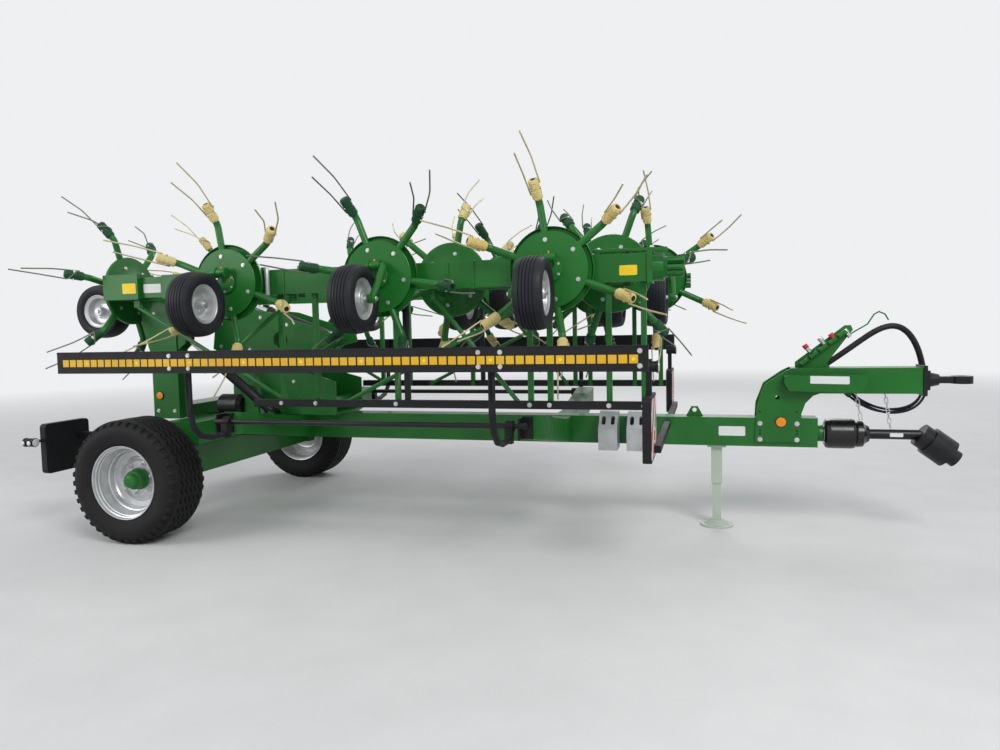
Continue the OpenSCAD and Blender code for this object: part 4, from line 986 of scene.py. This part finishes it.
def dressPanels(piece, side):
    p = trimPlan
    x, y, z = p["frontPanel"]
    w, h = p["panel"]
    face = (w - 0.03, h - 0.03)
    blankPlate(piece, "striped", at(x, side * y, z), (0, 1, 0), (0, 0, 1), face, 0.0016, 0.06)
    roundLamp(piece, at(x + 0.017, side * y, z + 0.32), (1, 0, 0), 0.034, "lamp")
    for v in (-0.011, -0.08):
        piece.use("zinc").bolt(at(x + 0.0016, side * y - 0.006, z + v), (1, 0, 0), 0.009)
    x, y, z = p["rearPanel"]
    blankPlate(piece, "striped", at(x, side * y, z), (0, -1, 0), (0, 0, 1), face, 0.0016, 0.06)
    lampY = side * (y + 0.5 * w + 0.096)
    lampZ = z + 0.0612
    roundLamp(piece, at(x - 0.012, lampY, lampZ), (-1, 0, 0), 0.03, "red")
    roundLamp(piece, at(x + 0.056, lampY, lampZ), (1, 0, 0), 0.03, "lamp")
    for v in (-0.005, 0.045):
        roundLamp(piece, at(x + v, lampY + side * 0.026, lampZ), (0, side, 0), 0.017, "lamp")


makeTrim().finish("chassisTrim", "chassis", "zinc")
print("trim made")


studio = {"floor": 60, "backdrop": (0.86, 0.87, 0.88), "near": 5.0, "far": 17.0, "sky": (0.9, 0.93, 1.0),
          "light": 0.38}


def stage():
    p = studio
    floor = bpy.data.meshes.new("floor")
    bm = bmesh.new()
    bmesh.ops.create_grid(bm, x_segments=1, y_segments=1, size=p["floor"])
    bm.to_mesh(floor)
    bm.free()
    coat = Paint("floorCoat")
    grain = coat.noise(3, 5)
    tone = coat.mix(coat.ramp(grain, 0.3, 0.7), (0.70, 0.70, 0.69), (0.74, 0.74, 0.73))
    coat.set(Base_Color=tone, Roughness=0.85)
    away = coat.node("ShaderNodeVectorMath", {"operation": "LENGTH"}, (coat.place(),), 1)
    rays = coat.node("ShaderNodeLightPath")
    glow = coat.node("ShaderNodeEmission", {}, (p["backdrop"], 1.0))
    matt = Link(coat, coat.shader.outputs[0])
    fade = coat.ramp(away, p["near"], p["far"])  # the far floor fades into the backdrop
    blend = coat.node("ShaderNodeMixShader", {}, (fade * rays, matt, glow))
    coat.feed(coat.tree.nodes["Material Output"].inputs["Surface"], blend)
    floor.materials.append(coat.material)
    ground = bpy.data.objects.new("floor", floor)
    bpy.context.scene.collection.objects.link(ground)
    world = bpy.data.worlds.new("studio")
    world.use_nodes = True
    nodes = world.node_tree.nodes
    links = world.node_tree.links
    plain = nodes["Background"]
    plain.inputs["Color"].default_value = (*p["sky"], 1)
    plain.inputs["Strength"].default_value = p["light"]
    seen = nodes.new("ShaderNodeBackground")
    seen.inputs["Color"].default_value = (*p["backdrop"], 1)
    seen.inputs["Strength"].default_value = 1.0
    rays = nodes.new("ShaderNodeLightPath")
    either = nodes.new("ShaderNodeMath")
    either.operation = "MAXIMUM"
    blend = nodes.new("ShaderNodeMixShader")
    links.new(rays.outputs["Is Camera Ray"], either.inputs[0])
    links.new(rays.outputs["Is Glossy Ray"], either.inputs[1])
    links.new(either.outputs[0], blend.inputs[0])
    links.new(plain.outputs[0], blend.inputs[1])
    links.new(seen.outputs[0], blend.inputs[2])
    links.new(blend.outputs[0], nodes["World Output"].inputs["Surface"])
    bpy.context.scene.world = world
    lamps = {
        "key": {"place": (5.5, -7.0, 7.5), "aim": (0.0, 0.0, 0.9), "size": 5.0, "power": 620},
        "fill": {"place": (-7.0, -6.0, 4.5), "aim": (-0.5, 0.0, 1.0), "size": 6.0, "power": 300},
        "back": {"place": (1.0, 8.0, 6.5), "aim": (0.0, 0.0, 1.2), "size": 6.0, "power": 300},
    }
    for name, values in lamps.items():
        data = bpy.data.lights.new(name, "AREA")
        data.shape = "DISK"
        data.size = values["size"]
        data.energy = values["power"]
        lamp = bpy.data.objects.new(name, data)
        matrix = aim(values["aim"], values["place"])[0]
        matrix.translation = values["place"]
        lamp.matrix_world = matrix
        bpy.context.scene.collection.objects.link(lamp)
    bpy.context.scene.view_settings.view_transform = "Standard"


stage()
print("stage set")

bpy.context.view_layer.update()
